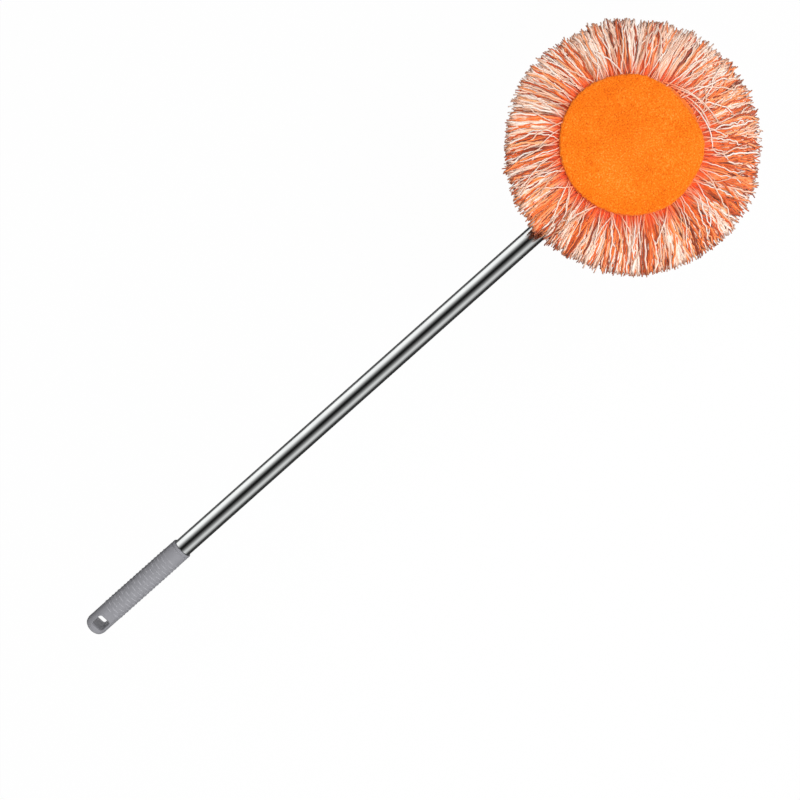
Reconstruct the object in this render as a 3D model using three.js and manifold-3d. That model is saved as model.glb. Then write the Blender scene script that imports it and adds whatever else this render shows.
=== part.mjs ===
// Telescopic ceiling mop: a round plush and yarn head, hinged to a two-section stainless pole.
// Millimetres, +Z up. The mop lies on its back, the pole along X with the head at +X.

import * as THREE from 'three';
import { mergeVertices } from 'three/addons/utils/BufferGeometryUtils.js';
import Module from 'manifold-3d';

const wasm = await Module();
wasm.setup();

// Clearances shared by every piece
const seatGap = 0.3;
const cutOverrun = 1;

// Facets round a turned piece
const screwSides = 12;
const pinSides = 18;
const tubeSides = 32;
const headSides = 60;
const arcSteps = 6;

// Pole: lengths run from the grip's end to the hinge bolt, with the pole pushed in
const poleLength = 921;
const outerTubeDiameter = 25;
const outerTubeWall = 0.6;
const innerTubeDiameter = 22;
const innerTubeWall = 0.6;
const mouthToHinge = 112;
const innerTubeSetback = 45;

// Hand grip
const gripLength = 157.6;
const gripDiameter = 30.3;
const gripClosedEnd = 47;
const gripFlatThickness = 27;
const gripFlatLength = 36;
const gripFlatSlopeLength = 9;
const gripBandLength = 3.6;
const gripGrooveWidth = 1.2;
const gripGrooveDepth = 0.6;
const gripMouthChamfer = 0.8;
const gripEndLength = 9.5;
// How far out each turn of the rounded end lies, against its place along that end
const gripEndShares = [[0, 0.26], [0.06, 0.4], [0.14, 0.53], [0.27, 0.69], [0.41, 0.81], [0.55, 0.9],
  [0.76, 0.97], [1, 1]];
const hangHoleAcross = 17.2;
const hangHoleAlong = 15;
const hangHoleCorner = 3;
const hangHoleToEnd = 19;

// Twist lock at the outer tube's mouth
const sleeveGripLength = 26;
const sleeveWall = 1.4;
const sleeveFlangeWidth = 4;
const sleeveFlangeRadius = 15.8;
const sleeveShoulder = 4;
const colletLength = 18;
const colletTipWall = 1.5;
const colletSlotWidth = 1.6;
const collarWall = 2.1;
const collarNoseLength = 4;
const collarRibCount = 20;
const collarRibHeight = 0.8;
const collarRibShares = [0.16, 0.34, 0.66, 0.84];
const collarChamfer = 1.4;
const collarRunClearance = 0.6;

// Guide bush in the inner tube's lower end
const bushFlangeLength = 7;
const bushSpigotLength = 15;
const bushWall = 2;

// Pole socket, hinge bolt and washers
const socketLength = 46;
const socketDiameter = 28;
const socketNoseToHinge = 17;
const socketClosedEnd = 7;
const socketNoseChamfer = 4;
const knuckleThickness = 12;
const knuckleRadius = 10;
const boltRadius = 3;
const boltHeadRadius = 5.6;
const boltHeadThickness = 4;
const boltTailLength = 1.6;
const nutRadius = 5.8;
const nutSides = 6;
const nutThickness = 5;
const washerRadius = 9;
const washerThickness = 1;
const socketScrewToHinge = 45;
const socketScrewShankRadius = 1.5;
const socketScrewHeadRadius = 2.9;
const socketScrewHeadThickness = 1.8;
const socketScrewRecess = 1.9;
const socketScrewReach = 6;

// Hinge bracket on the plate's back
const hingeToPlate = 28;
const bracketBaseThickness = 4.4;
const bracketBaseWidth = 44;
const bracketBaseCorner = 7;
const bracketEarThickness = 5;
const bracketEarRadius = 11;
const bracketScrewSpacing = 30;
const bracketScrewShankRadius = 1.6;
const bracketScrewHeadRadius = 3.1;
const bracketScrewHeadThickness = 2.2;
const bracketScrewBite = 5;

// Mop plate and foam
const plateDiameter = 165;
const plateDepth = 8;
const plateSkin = 2.5;
const plateRimWall = 2.2;
const plateRimChamfer = 1;
const plateBossRadius = 31;
const plateRingRadius = 56;
const plateRibWidth = 2;
const plateRibCount = 12;
const plateRibRecess = 1.5;
const foamThickness = 6;
const foamInset = 1;
const foamEdgeChamfer = 0.8;

// Cover: base cloth, plush pad, cuff and elastic
const coverClothThickness = 1;
const plushOverhang = 5.5;
const plushEdgeHeight = 4.6;
const plushCrownHeight = 8.2;
const plushSideDrawnIn = 2.6;
const plushShoulder = 5;
const plushShoulderSteps = 2;
const plushCrownSteps = 4;
const cuffClothThickness = 1;
const cuffLipWidth = 12;
const cuffGatherDepth = 2.4;
const cuffGathers = 12;
const cuffStepsPerGather = 4;
const elasticRadius = 1.2;
const elasticSides = 5;

// Fringe: two rows of yarn all round and a lower one at each side, each sewn on its own tape
const tapeWidth = 3;
const tapeHeight = 3.2;
const strandRadius = 1.35;
const fringeDiameter = 330;
const fringeUpperDrop = 12;
const fringeLowerSetback = 23;
const strandsPerUpperRow = 120;
const strandsPerLowerRow = 32;
const lowerRowDegrees = 80;
const strandLengthShare = 0.045;
const strandSwayShare = 0.2;
// Places along a strand: how far out it has come, and how much of its fall it has taken
const upperStrandShares = [[0.42, 0.22], [1, 1]];
const lowerStrandShares = [[0.55, 0.4], [1, 1]];
const scatterShares = [12.9898, 78.233, 43758.5453];
const scatterSaltShares = [3.1, 7.7];

// Sizes that follow from the driving ones
const quarterTurn = Math.PI / 2;
const fullTurn = Math.PI * 2;
const outerTubeRadius = outerTubeDiameter / 2;
const outerTubeBore = outerTubeRadius - outerTubeWall;
const innerTubeRadius = innerTubeDiameter / 2;
const innerTubeBore = innerTubeRadius - innerTubeWall;
const gripRadius = gripDiameter / 2;
const gripEndX = -poleLength;
const outerTubeStartX = gripEndX + gripClosedEnd + seatGap;
const mouthX = -mouthToHinge;
const innerTubeStartX = outerTubeStartX + innerTubeSetback;
const socketEndX = -socketNoseToHinge - socketLength;
const innerTubeEndX = -socketNoseToHinge - socketClosedEnd - seatGap;
const sleeveBore = outerTubeRadius + seatGap;
const sleeveRadius = sleeveBore + sleeveWall;
const colletBore = innerTubeRadius + seatGap;
const colletTipRadius = colletBore + colletTipWall;
const collarBore = sleeveRadius + seatGap;
const collarRadius = collarBore + collarWall;
const collarStartX = mouthX - sleeveGripLength + sleeveFlangeWidth + seatGap;
const colletEndX = mouthX + colletLength;
const floorZ = -collarRadius;
const earInnerY = knuckleThickness / 2 + seatGap + washerThickness + seatGap;
const earOuterY = earInnerY + bracketEarThickness;
const boltHoleRadius = boltRadius + seatGap;
const plateRadius = plateDiameter / 2;
const plateFrontZ = hingeToPlate + plateDepth;
const bracketBackZ = hingeToPlate - seatGap - bracketBaseThickness;
const foamBackZ = plateFrontZ + seatGap;
const coverBaseZ = foamBackZ + foamThickness + seatGap;
const plushBackZ = coverBaseZ + coverClothThickness + seatGap;
const plushRadius = plateRadius + plushOverhang;
const cuffWallInner = plateRadius + seatGap;
const cuffWallOuter = cuffWallInner + cuffClothThickness;
const cuffLipTopZ = hingeToPlate - seatGap;
const cuffLipInner = plateRadius - cuffLipWidth;
const tapeInner = cuffWallOuter + seatGap;
const tapeOuter = tapeInner + tapeWidth;

// Geometry helpers

function revolved(profile, sides) {
  const points = profile.map(([radius, along]) => new THREE.Vector2(radius, along));
  return new THREE.LatheGeometry(points, sides);
}

function rod(radius, from, to, sides) {
  return revolved([[0, from], [radius, from], [radius, to], [0, to]], sides);
}

function pipe(bore, radius, from, to, sides) {
  return revolved([[radius, from], [radius, to], [bore, to], [bore, from], [radius, from]], sides);
}

const alongX = (geometry) => geometry.rotateZ(-quarterTurn);
const alongZ = (geometry) => geometry.rotateX(quarterTurn);

function prismY(shape, fromY, toY) {
  const prism = new THREE.ExtrudeGeometry(shape, {
    depth: toY - fromY,
    bevelEnabled: false,
    curveSegments: arcSteps,
  });
  return prism.rotateX(quarterTurn).translate(0, toY, 0);
}

function prismZ(shape, fromZ, toZ) {
  const prism = new THREE.ExtrudeGeometry(shape, {
    depth: toZ - fromZ,
    bevelEnabled: false,
    curveSegments: arcSteps,
  });
  return prism.translate(0, 0, fromZ);
}

function roundedRectangle(width, height, corner) {
  const x = width / 2;
  const y = height / 2;
  const shape = new THREE.Shape();
  shape.absarc(x - corner, y - corner, corner, 0, quarterTurn);
  shape.absarc(corner - x, y - corner, corner, quarterTurn, 2 * quarterTurn);
  shape.absarc(corner - x, corner - y, corner, 2 * quarterTurn, 3 * quarterTurn);
  shape.absarc(x - corner, corner - y, corner, 3 * quarterTurn, fullTurn);
  shape.closePath();
  return shape;
}

function solidOf(geometry) {
  const bare = new THREE.BufferGeometry();
  bare.setAttribute('position', geometry.attributes.position.clone());
  bare.setIndex(geometry.index);
  const merged = mergeVertices(bare);
  const corners = merged.index.array;
  const triVerts = [];
  for (let i = 0; i < corners.length; i += 3) {
    const [a, b, c] = corners.slice(i, i + 3);
    if (a !== b && b !== c && c !== a) triVerts.push(a, b, c);
  }
  const vertProperties = merged.attributes.position.array;
  const mesh = new wasm.Mesh({ numProp: 3, vertProperties, triVerts: Uint32Array.from(triVerts) });
  return new wasm.Manifold(mesh);
}

function geometryOf(solid) {
  const { vertProperties, triVerts, numProp } = solid.getMesh();
  const geometry = new THREE.BufferGeometry();
  geometry.setAttribute('position', new THREE.BufferAttribute(vertProperties, numProp));
  geometry.setIndex(new THREE.BufferAttribute(triVerts, 1));
  geometry.computeVertexNormals();
  return geometry;
}

function joined(first, others) {
  return geometryOf(others.reduce((sum, next) => sum.add(solidOf(next)), solidOf(first)));
}

function cutBy(first, others) {
  return geometryOf(others.reduce((rest, next) => rest.subtract(solidOf(next)), solidOf(first)));
}

function sharedBy(first, second) {
  return geometryOf(solidOf(first).intersect(solidOf(second)));
}

// Colours and finishes

const finishes = {
  gripPlastic: { color: 0x9a9a9f, roughness: 0.6, metalness: 0 },
  stainless: { color: 0xd4d6d6, roughness: 0.16, metalness: 1 },
  darkPlastic: { color: 0x54565b, roughness: 0.5, metalness: 0 },
  greyPlastic: { color: 0x8f9196, roughness: 0.5, metalness: 0 },
  acetal: { color: 0xe9e7df, roughness: 0.45, metalness: 0 },
  zincSteel: { color: 0xb9bcc0, roughness: 0.35, metalness: 1 },
  plate: { color: 0xe8e8e6, roughness: 0.5, metalness: 0 },
  foam: { color: 0xd9d6cc, roughness: 0.95, metalness: 0 },
  orangeCloth: { color: 0xf47a1f, roughness: 0.95, metalness: 0 },
  orangePlush: { color: 0xfb811d, roughness: 1, metalness: 0 },
  orangeYarn: { color: 0xfa6a20, roughness: 0.95, metalness: 0 },
  whiteYarn: { color: 0xf8dccb, roughness: 0.95, metalness: 0 },
  elastic: { color: 0xf2efe8, roughness: 0.9, metalness: 0 },
};

function piece(name, geometry, finish) {
  const mesh = new THREE.Mesh(geometry, new THREE.MeshStandardMaterial(finishes[finish]));
  mesh.name = name;
  return mesh;
}

// Handle: grip and outer tube

function gripBody() {
  const bandStart = gripLength - gripBandLength;
  const grooveRadius = gripRadius - gripGrooveDepth;
  const end = gripEndShares.map(([along, out]) => [gripRadius * out, gripEndLength * along]);
  return alongX(revolved([
    [0, 0],
    ...end,
    [gripRadius, bandStart - gripGrooveWidth],
    [grooveRadius, bandStart - gripGrooveWidth],
    [grooveRadius, bandStart],
    [gripRadius, bandStart],
    [gripRadius, gripLength - gripMouthChamfer],
    [gripRadius - gripMouthChamfer, gripLength],
    [0, gripLength],
  ], tubeSides));
}

// What is pared off the two broad sides of the grip's end, with a slope that runs out on the round
function gripFlatCut(side) {
  const flat = gripFlatThickness / 2;
  const outside = gripRadius + cutOverrun;
  const slopeEnd = gripFlatLength + gripFlatSlopeLength * (outside - flat) / (gripRadius - flat);
  const outline = new THREE.Shape();
  outline.moveTo(-cutOverrun, side * flat);
  outline.lineTo(gripFlatLength, side * flat);
  outline.lineTo(slopeEnd, side * outside);
  outline.lineTo(-cutOverrun, side * outside);
  outline.closePath();
  return prismY(outline, -outside, outside);
}

function handGrip() {
  const hole = prismZ(
    roundedRectangle(hangHoleAlong, hangHoleAcross, hangHoleCorner),
    -gripRadius - cutOverrun,
    gripRadius + cutOverrun,
  ).translate(hangHoleToEnd, 0, 0);
  const bore = alongX(rod(sleeveBore, gripClosedEnd, gripLength + cutOverrun, tubeSides));
  const geometry = cutBy(gripBody(), [bore, gripFlatCut(1), gripFlatCut(-1), hole]);
  return piece('hand_grip', geometry.translate(gripEndX, 0, 0), 'gripPlastic');
}

function outerTube() {
  const tube = pipe(outerTubeBore, outerTubeRadius, outerTubeStartX, mouthX, tubeSides);
  return piece('outer_tube', alongX(tube), 'stainless');
}

// Twist lock: the collar's nose squeezes four collet fingers on to the inner tube

function colletSleeve() {
  const startX = mouthX - sleeveGripLength;
  const flangeEndX = startX + sleeveFlangeWidth;
  const shoulderX = mouthX + sleeveShoulder;
  const sleeve = alongX(revolved([
    [sleeveFlangeRadius, startX],
    [sleeveFlangeRadius, flangeEndX],
    [sleeveRadius, flangeEndX],
    [sleeveRadius, shoulderX],
    [colletTipRadius, colletEndX],
    [colletBore, colletEndX],
    [colletBore, mouthX + seatGap],
    [sleeveBore, mouthX + seatGap],
    [sleeveBore, startX],
    [sleeveFlangeRadius, startX],
  ], tubeSides));
  const slotLength = colletLength - sleeveShoulder + cutOverrun;
  const slotReach = 2 * (sleeveRadius + cutOverrun);
  const slotMiddleX = shoulderX + slotLength / 2;
  const slots = [
    new THREE.BoxGeometry(slotLength, slotReach, colletSlotWidth).translate(slotMiddleX, 0, 0),
    new THREE.BoxGeometry(slotLength, colletSlotWidth, slotReach).translate(slotMiddleX, 0, 0),
  ];
  return piece('collet_sleeve', cutBy(sleeve, slots), 'darkPlastic');
}

function ribbedOutline(radius, height, count, shares) {
  const outline = new THREE.Shape();
  const radii = [radius - height, radius, radius, radius - height];
  for (let rib = 0; rib < count; rib += 1) {
    radii.forEach((out, corner) => {
      const angle = (rib + shares[corner]) * fullTurn / count;
      const point = [out * Math.cos(angle), out * Math.sin(angle)];
      if (rib === 0 && corner === 0) outline.moveTo(...point);
      else outline.lineTo(...point);
    });
  }
  outline.closePath();
  return outline;
}

function lockCollar() {
  const endX = colletEndX + seatGap + collarNoseLength;
  const ribbed = prismZ(
    ribbedOutline(collarRadius, collarRibHeight, collarRibCount, collarRibShares),
    collarStartX,
    endX,
  ).rotateY(quarterTurn);
  const chamfered = alongX(revolved([
    [0, collarStartX],
    [collarRadius - collarChamfer, collarStartX],
    [collarRadius + cutOverrun, collarStartX + collarChamfer + cutOverrun],
    [collarRadius + cutOverrun, endX - collarChamfer - cutOverrun],
    [collarRadius - collarChamfer, endX],
    [0, endX],
  ], tubeSides));
  const noseBore = innerTubeRadius + collarRunClearance;
  const inside = alongX(revolved([
    [0, collarStartX - cutOverrun],
    [collarBore, collarStartX - cutOverrun],
    [collarBore, mouthX + sleeveShoulder],
    [colletTipRadius + seatGap, colletEndX + seatGap],
    [noseBore, colletEndX + seatGap],
    [noseBore, endX + cutOverrun],
    [0, endX + cutOverrun],
  ], tubeSides));
  return piece('lock_collar', cutBy(sharedBy(ribbed, chamfered), [inside]), 'darkPlastic');
}

// Sliding section

function guideBush() {
  const flangeRadius = outerTubeBore - seatGap;
  const spigotRadius = innerTubeBore - seatGap;
  const bore = spigotRadius - bushWall;
  const flangeEndX = innerTubeStartX - seatGap;
  const startX = flangeEndX - bushFlangeLength;
  const endX = innerTubeStartX + bushSpigotLength;
  const bush = revolved([
    [flangeRadius, startX],
    [flangeRadius, flangeEndX],
    [spigotRadius, flangeEndX],
    [spigotRadius, endX],
    [bore, endX],
    [bore, startX],
    [flangeRadius, startX],
  ], tubeSides);
  return piece('guide_bush', alongX(bush), 'acetal');
}

function innerTube() {
  const tube = alongX(pipe(innerTubeBore, innerTubeRadius, innerTubeStartX, innerTubeEndX, tubeSides));
  const holeRadius = socketScrewShankRadius + seatGap;
  const hole = alongZ(rod(holeRadius, -innerTubeRadius - cutOverrun, 0, screwSides));
  const geometry = cutBy(tube, [hole.translate(-socketScrewToHinge, 0, 0)]);
  return piece('inner_tube', geometry, 'stainless');
}

const socketRadius = socketDiameter / 2;
const socketScrewSeatZ = -socketRadius + socketScrewRecess;

function poleSocket() {
  const noseX = -socketNoseToHinge;
  const body = alongX(revolved([
    [0, socketEndX],
    [socketRadius, socketEndX],
    [socketRadius, noseX - socketNoseChamfer],
    [socketRadius - socketNoseChamfer, noseX],
    [0, noseX],
  ], tubeSides));
  const knuckle = new THREE.Shape();
  knuckle.absarc(0, 0, knuckleRadius, -quarterTurn, quarterTurn);
  knuckle.lineTo(noseX - socketNoseChamfer, knuckleRadius);
  knuckle.lineTo(noseX - socketNoseChamfer, -knuckleRadius);
  knuckle.closePath();
  const tongue = prismY(knuckle, -knuckleThickness / 2, knuckleThickness / 2);
  const boltHole = rod(boltHoleRadius, -knuckleThickness, knuckleThickness, pinSides);
  const tubeBore = alongX(rod(colletBore, socketEndX - cutOverrun, innerTubeEndX + seatGap, tubeSides));
  const below = -socketRadius - cutOverrun;
  const screwHole = alongZ(rod(socketScrewShankRadius + seatGap, below, 0, screwSides));
  const recess = alongZ(rod(
    socketScrewHeadRadius + seatGap,
    below,
    socketScrewSeatZ + seatGap,
    screwSides,
  ));
  const cuts = [
    tubeBore,
    boltHole,
    screwHole.translate(-socketScrewToHinge, 0, 0),
    recess.translate(-socketScrewToHinge, 0, 0),
  ];
  return piece('pole_socket', cutBy(joined(body, [tongue]), cuts), 'greyPlastic');
}

function panHeadScrew(shankRadius, headRadius, headThickness, seatZ, length) {
  return alongZ(revolved([
    [0, seatZ - headThickness],
    [headRadius, seatZ - headThickness],
    [headRadius, seatZ],
    [shankRadius, seatZ],
    [shankRadius, seatZ + length - shankRadius],
    [0, seatZ + length],
  ], screwSides));
}

function socketScrew() {
  const geometry = panHeadScrew(
    socketScrewShankRadius,
    socketScrewHeadRadius,
    socketScrewHeadThickness,
    socketScrewSeatZ,
    socketScrewReach,
  );
  return piece('socket_screw', geometry.translate(-socketScrewToHinge, 0, 0), 'zincSteel');
}

// Hinge between the pole socket and the plate

function hingeBolt() {
  const headY = earOuterY + seatGap;
  const tailY = -earOuterY - seatGap - nutThickness - boltTailLength;
  const bolt = revolved([
    [0, tailY],
    [boltRadius, tailY],
    [boltRadius, headY],
    [boltHeadRadius, headY],
    [boltHeadRadius, headY + boltHeadThickness / 2],
    [boltHeadRadius - boltHeadThickness / 2, headY + boltHeadThickness],
    [0, headY + boltHeadThickness],
  ], pinSides);
  return piece('hinge_bolt', bolt, 'zincSteel');
}

function hingeNut() {
  const nearY = -earOuterY - seatGap;
  const hexagon = rod(nutRadius, nearY - nutThickness, nearY, nutSides);
  const hole = rod(boltHoleRadius, nearY - nutThickness - cutOverrun, nearY + cutOverrun, pinSides);
  return piece('hinge_nut', cutBy(hexagon, [hole]), 'zincSteel');
}

function frictionWasher(number, side) {
  const nearY = knuckleThickness / 2 + seatGap;
  const farY = nearY + washerThickness;
  const lowY = Math.min(side * nearY, side * farY);
  const washer = pipe(boltHoleRadius, washerRadius, lowY, lowY + washerThickness, pinSides);
  return piece(`friction_washer_${number}`, washer, 'acetal');
}

const bracketScrewPlaces = [[1, 1], [-1, 1], [-1, -1], [1, -1]].map(
  ([x, y]) => [x * bracketScrewSpacing / 2, y * bracketScrewSpacing / 2],
);

function hingeBracket() {
  const base = prismZ(
    roundedRectangle(bracketBaseWidth, bracketBaseWidth, bracketBaseCorner),
    bracketBackZ,
    bracketBackZ + bracketBaseThickness,
  );
  const ear = new THREE.Shape();
  ear.absarc(0, 0, bracketEarRadius, 2 * quarterTurn, fullTurn);
  ear.lineTo(bracketEarRadius, bracketBackZ + cutOverrun);
  ear.lineTo(-bracketEarRadius, bracketBackZ + cutOverrun);
  ear.closePath();
  const ears = [prismY(ear, earInnerY, earOuterY), prismY(ear, -earOuterY, -earInnerY)];
  const reach = earOuterY + cutOverrun;
  const boltHole = rod(boltHoleRadius, -reach, reach, pinSides);
  const screwHoles = bracketScrewPlaces.map(([x, y]) => alongZ(rod(
    bracketScrewShankRadius + seatGap,
    bracketBackZ - cutOverrun,
    hingeToPlate + cutOverrun,
    screwSides,
  )).translate(x, y, 0));
  return piece('hinge_bracket', cutBy(joined(base, ears), [boltHole, ...screwHoles]), 'greyPlastic');
}

function bracketScrew(place, index) {
  const geometry = panHeadScrew(
    bracketScrewShankRadius,
    bracketScrewHeadRadius,
    bracketScrewHeadThickness,
    bracketBackZ - seatGap,
    bracketBaseThickness + 2 * seatGap + bracketScrewBite,
  );
  return piece(`bracket_screw_${index + 1}`, geometry.translate(...place, 0), 'zincSteel');
}

// Head: ribbed plate, foam and cover

function mopPlate() {
  const skinZ = plateFrontZ - plateSkin;
  const rimInner = plateRadius - plateRimWall;
  const tray = alongZ(revolved([
    [0, skinZ],
    [rimInner, skinZ],
    [rimInner, hingeToPlate],
    [plateRadius - plateRimChamfer, hingeToPlate],
    [plateRadius, hingeToPlate + plateRimChamfer],
    [plateRadius, plateFrontZ - plateRimChamfer],
    [plateRadius - plateRimChamfer, plateFrontZ],
    [0, plateFrontZ],
  ], headSides));
  const ribBackZ = hingeToPlate + plateRibRecess;
  const inSkinZ = skinZ + plateSkin / 2;
  const boss = alongZ(rod(plateBossRadius, hingeToPlate, inSkinZ, tubeSides));
  const ring = alongZ(pipe(
    plateRingRadius - plateRibWidth / 2,
    plateRingRadius + plateRibWidth / 2,
    ribBackZ,
    inSkinZ,
    headSides,
  ));
  const ribStart = plateBossRadius - plateRibWidth;
  const ribLength = plateRadius - plateRimWall / 2 - ribStart;
  const ribHeight = inSkinZ - ribBackZ;
  const ribs = Array.from({ length: plateRibCount }, (_, index) => new THREE.BoxGeometry(
    ribLength,
    plateRibWidth,
    ribHeight,
  ).translate(ribStart + ribLength / 2, 0, ribBackZ + ribHeight / 2)
    .rotateZ((index + 1 / 2) * fullTurn / plateRibCount));
  const pilotHoles = bracketScrewPlaces.map(([x, y]) => alongZ(rod(
    bracketScrewShankRadius + seatGap,
    hingeToPlate - cutOverrun,
    hingeToPlate + bracketScrewBite + seatGap,
    screwSides,
  )).translate(x, y, 0));
  return piece('mop_plate', cutBy(joined(tray, [boss, ring, ...ribs]), pilotHoles), 'plate');
}

function foamPad() {
  const radius = plateRadius - foamInset;
  const frontZ = foamBackZ + foamThickness;
  const pad = revolved([
    [0, foamBackZ],
    [radius, foamBackZ],
    [radius, frontZ - foamEdgeChamfer],
    [radius - foamEdgeChamfer, frontZ],
    [0, frontZ],
  ], headSides);
  return piece('foam_pad', alongZ(pad), 'foam');
}

function coverBase() {
  const cloth = rod(tapeOuter, coverBaseZ, coverBaseZ + coverClothThickness, headSides);
  return piece('cover_base', alongZ(cloth), 'orangeCloth');
}

// The pad is sewn down round its foot, swells out over the seam, rounds over and rises to its crown
function plushPad() {
  const foot = [[0, plushBackZ], [plushRadius - plushSideDrawnIn, plushBackZ]];
  const shoulderRadius = plushRadius - plushShoulder;
  const shoulder = Array.from({ length: plushShoulderSteps + 1 }, (_, step) => {
    const angle = quarterTurn * step / plushShoulderSteps;
    const rise = plushEdgeHeight / 2 * (1 + Math.sin(angle));
    return [shoulderRadius + plushShoulder * Math.cos(angle), plushBackZ + rise];
  });
  const crown = Array.from({ length: plushCrownSteps }, (_, step) => {
    const share = 1 - (step + 1) / plushCrownSteps;
    const rise = (plushCrownHeight - plushEdgeHeight) * (1 - share ** 2);
    return [shoulderRadius * share, plushBackZ + plushEdgeHeight + rise];
  });
  return piece('plush_pad', alongZ(revolved([...foot, ...shoulder, ...crown], headSides)), 'orangePlush');
}

// A ring whose section, a closed loop of [radius, height] points, changes with the angle
function ringOfSections(sectionAt, steps) {
  const corners = [];
  const faces = [];
  const count = sectionAt(0).length;
  for (let step = 0; step < steps; step += 1) {
    const angle = fullTurn * step / steps;
    sectionAt(angle).forEach(([radius, height]) => {
      corners.push(radius * Math.cos(angle), radius * Math.sin(angle), height);
    });
    for (let point = 0; point < count; point += 1) {
      const next = (point + 1) % count;
      const after = (step + 1) % steps;
      const [a, b] = [step * count + point, step * count + next];
      const [c, d] = [after * count + next, after * count + point];
      faces.push(a, c, b, a, d, c);
    }
  }
  const geometry = new THREE.BufferGeometry();
  geometry.setAttribute('position', new THREE.Float32BufferAttribute(corners, 3));
  geometry.setIndex(faces);
  geometry.computeVertexNormals();
  return geometry;
}

// Cloth wall round the plate's rim, with a lip gathered behind the plate
function backCuff() {
  const topZ = coverBaseZ - seatGap;
  const middle = (cuffLipInner + cuffWallInner) / 2;
  const sectionAt = (angle) => {
    const gather = cuffGatherDepth * (1 + Math.cos(cuffGathers * angle)) / 2;
    return [
      [cuffWallOuter, topZ],
      [cuffWallInner, topZ],
      [cuffWallInner, cuffLipTopZ],
      [middle, cuffLipTopZ - gather / 2],
      [cuffLipInner, cuffLipTopZ - gather],
      [cuffLipInner, cuffLipTopZ - gather - cuffClothThickness],
      [middle, cuffLipTopZ - gather / 2 - cuffClothThickness],
      [cuffWallOuter, cuffLipTopZ - cuffClothThickness],
    ];
  };
  const geometry = ringOfSections(sectionAt, cuffGathers * cuffStepsPerGather);
  return piece('back_cuff', geometry, 'orangeCloth');
}

function elasticCord() {
  const radius = cuffLipInner - seatGap - elasticRadius;
  const height = cuffLipTopZ - elasticRadius - seatGap;
  const ring = new THREE.TorusGeometry(radius, elasticRadius, elasticSides, headSides);
  return piece('elastic_cord', ring.translate(0, 0, height), 'elastic');
}

// Fringe

// A value from -1 to 1 that looks random but is the same each time
function scatter(index, salt) {
  const [indexShare, saltShare, spreadShare] = scatterShares;
  const wave = Math.sin(index * indexShare + salt * saltShare) * spreadShare;
  return 2 * (wave - Math.floor(wave)) - 1;
}

// Directions round a strand's three corners: one up, two below
const strandCorners = [90, 210, 330].map((degrees) => THREE.MathUtils.degToRad(degrees));

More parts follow.
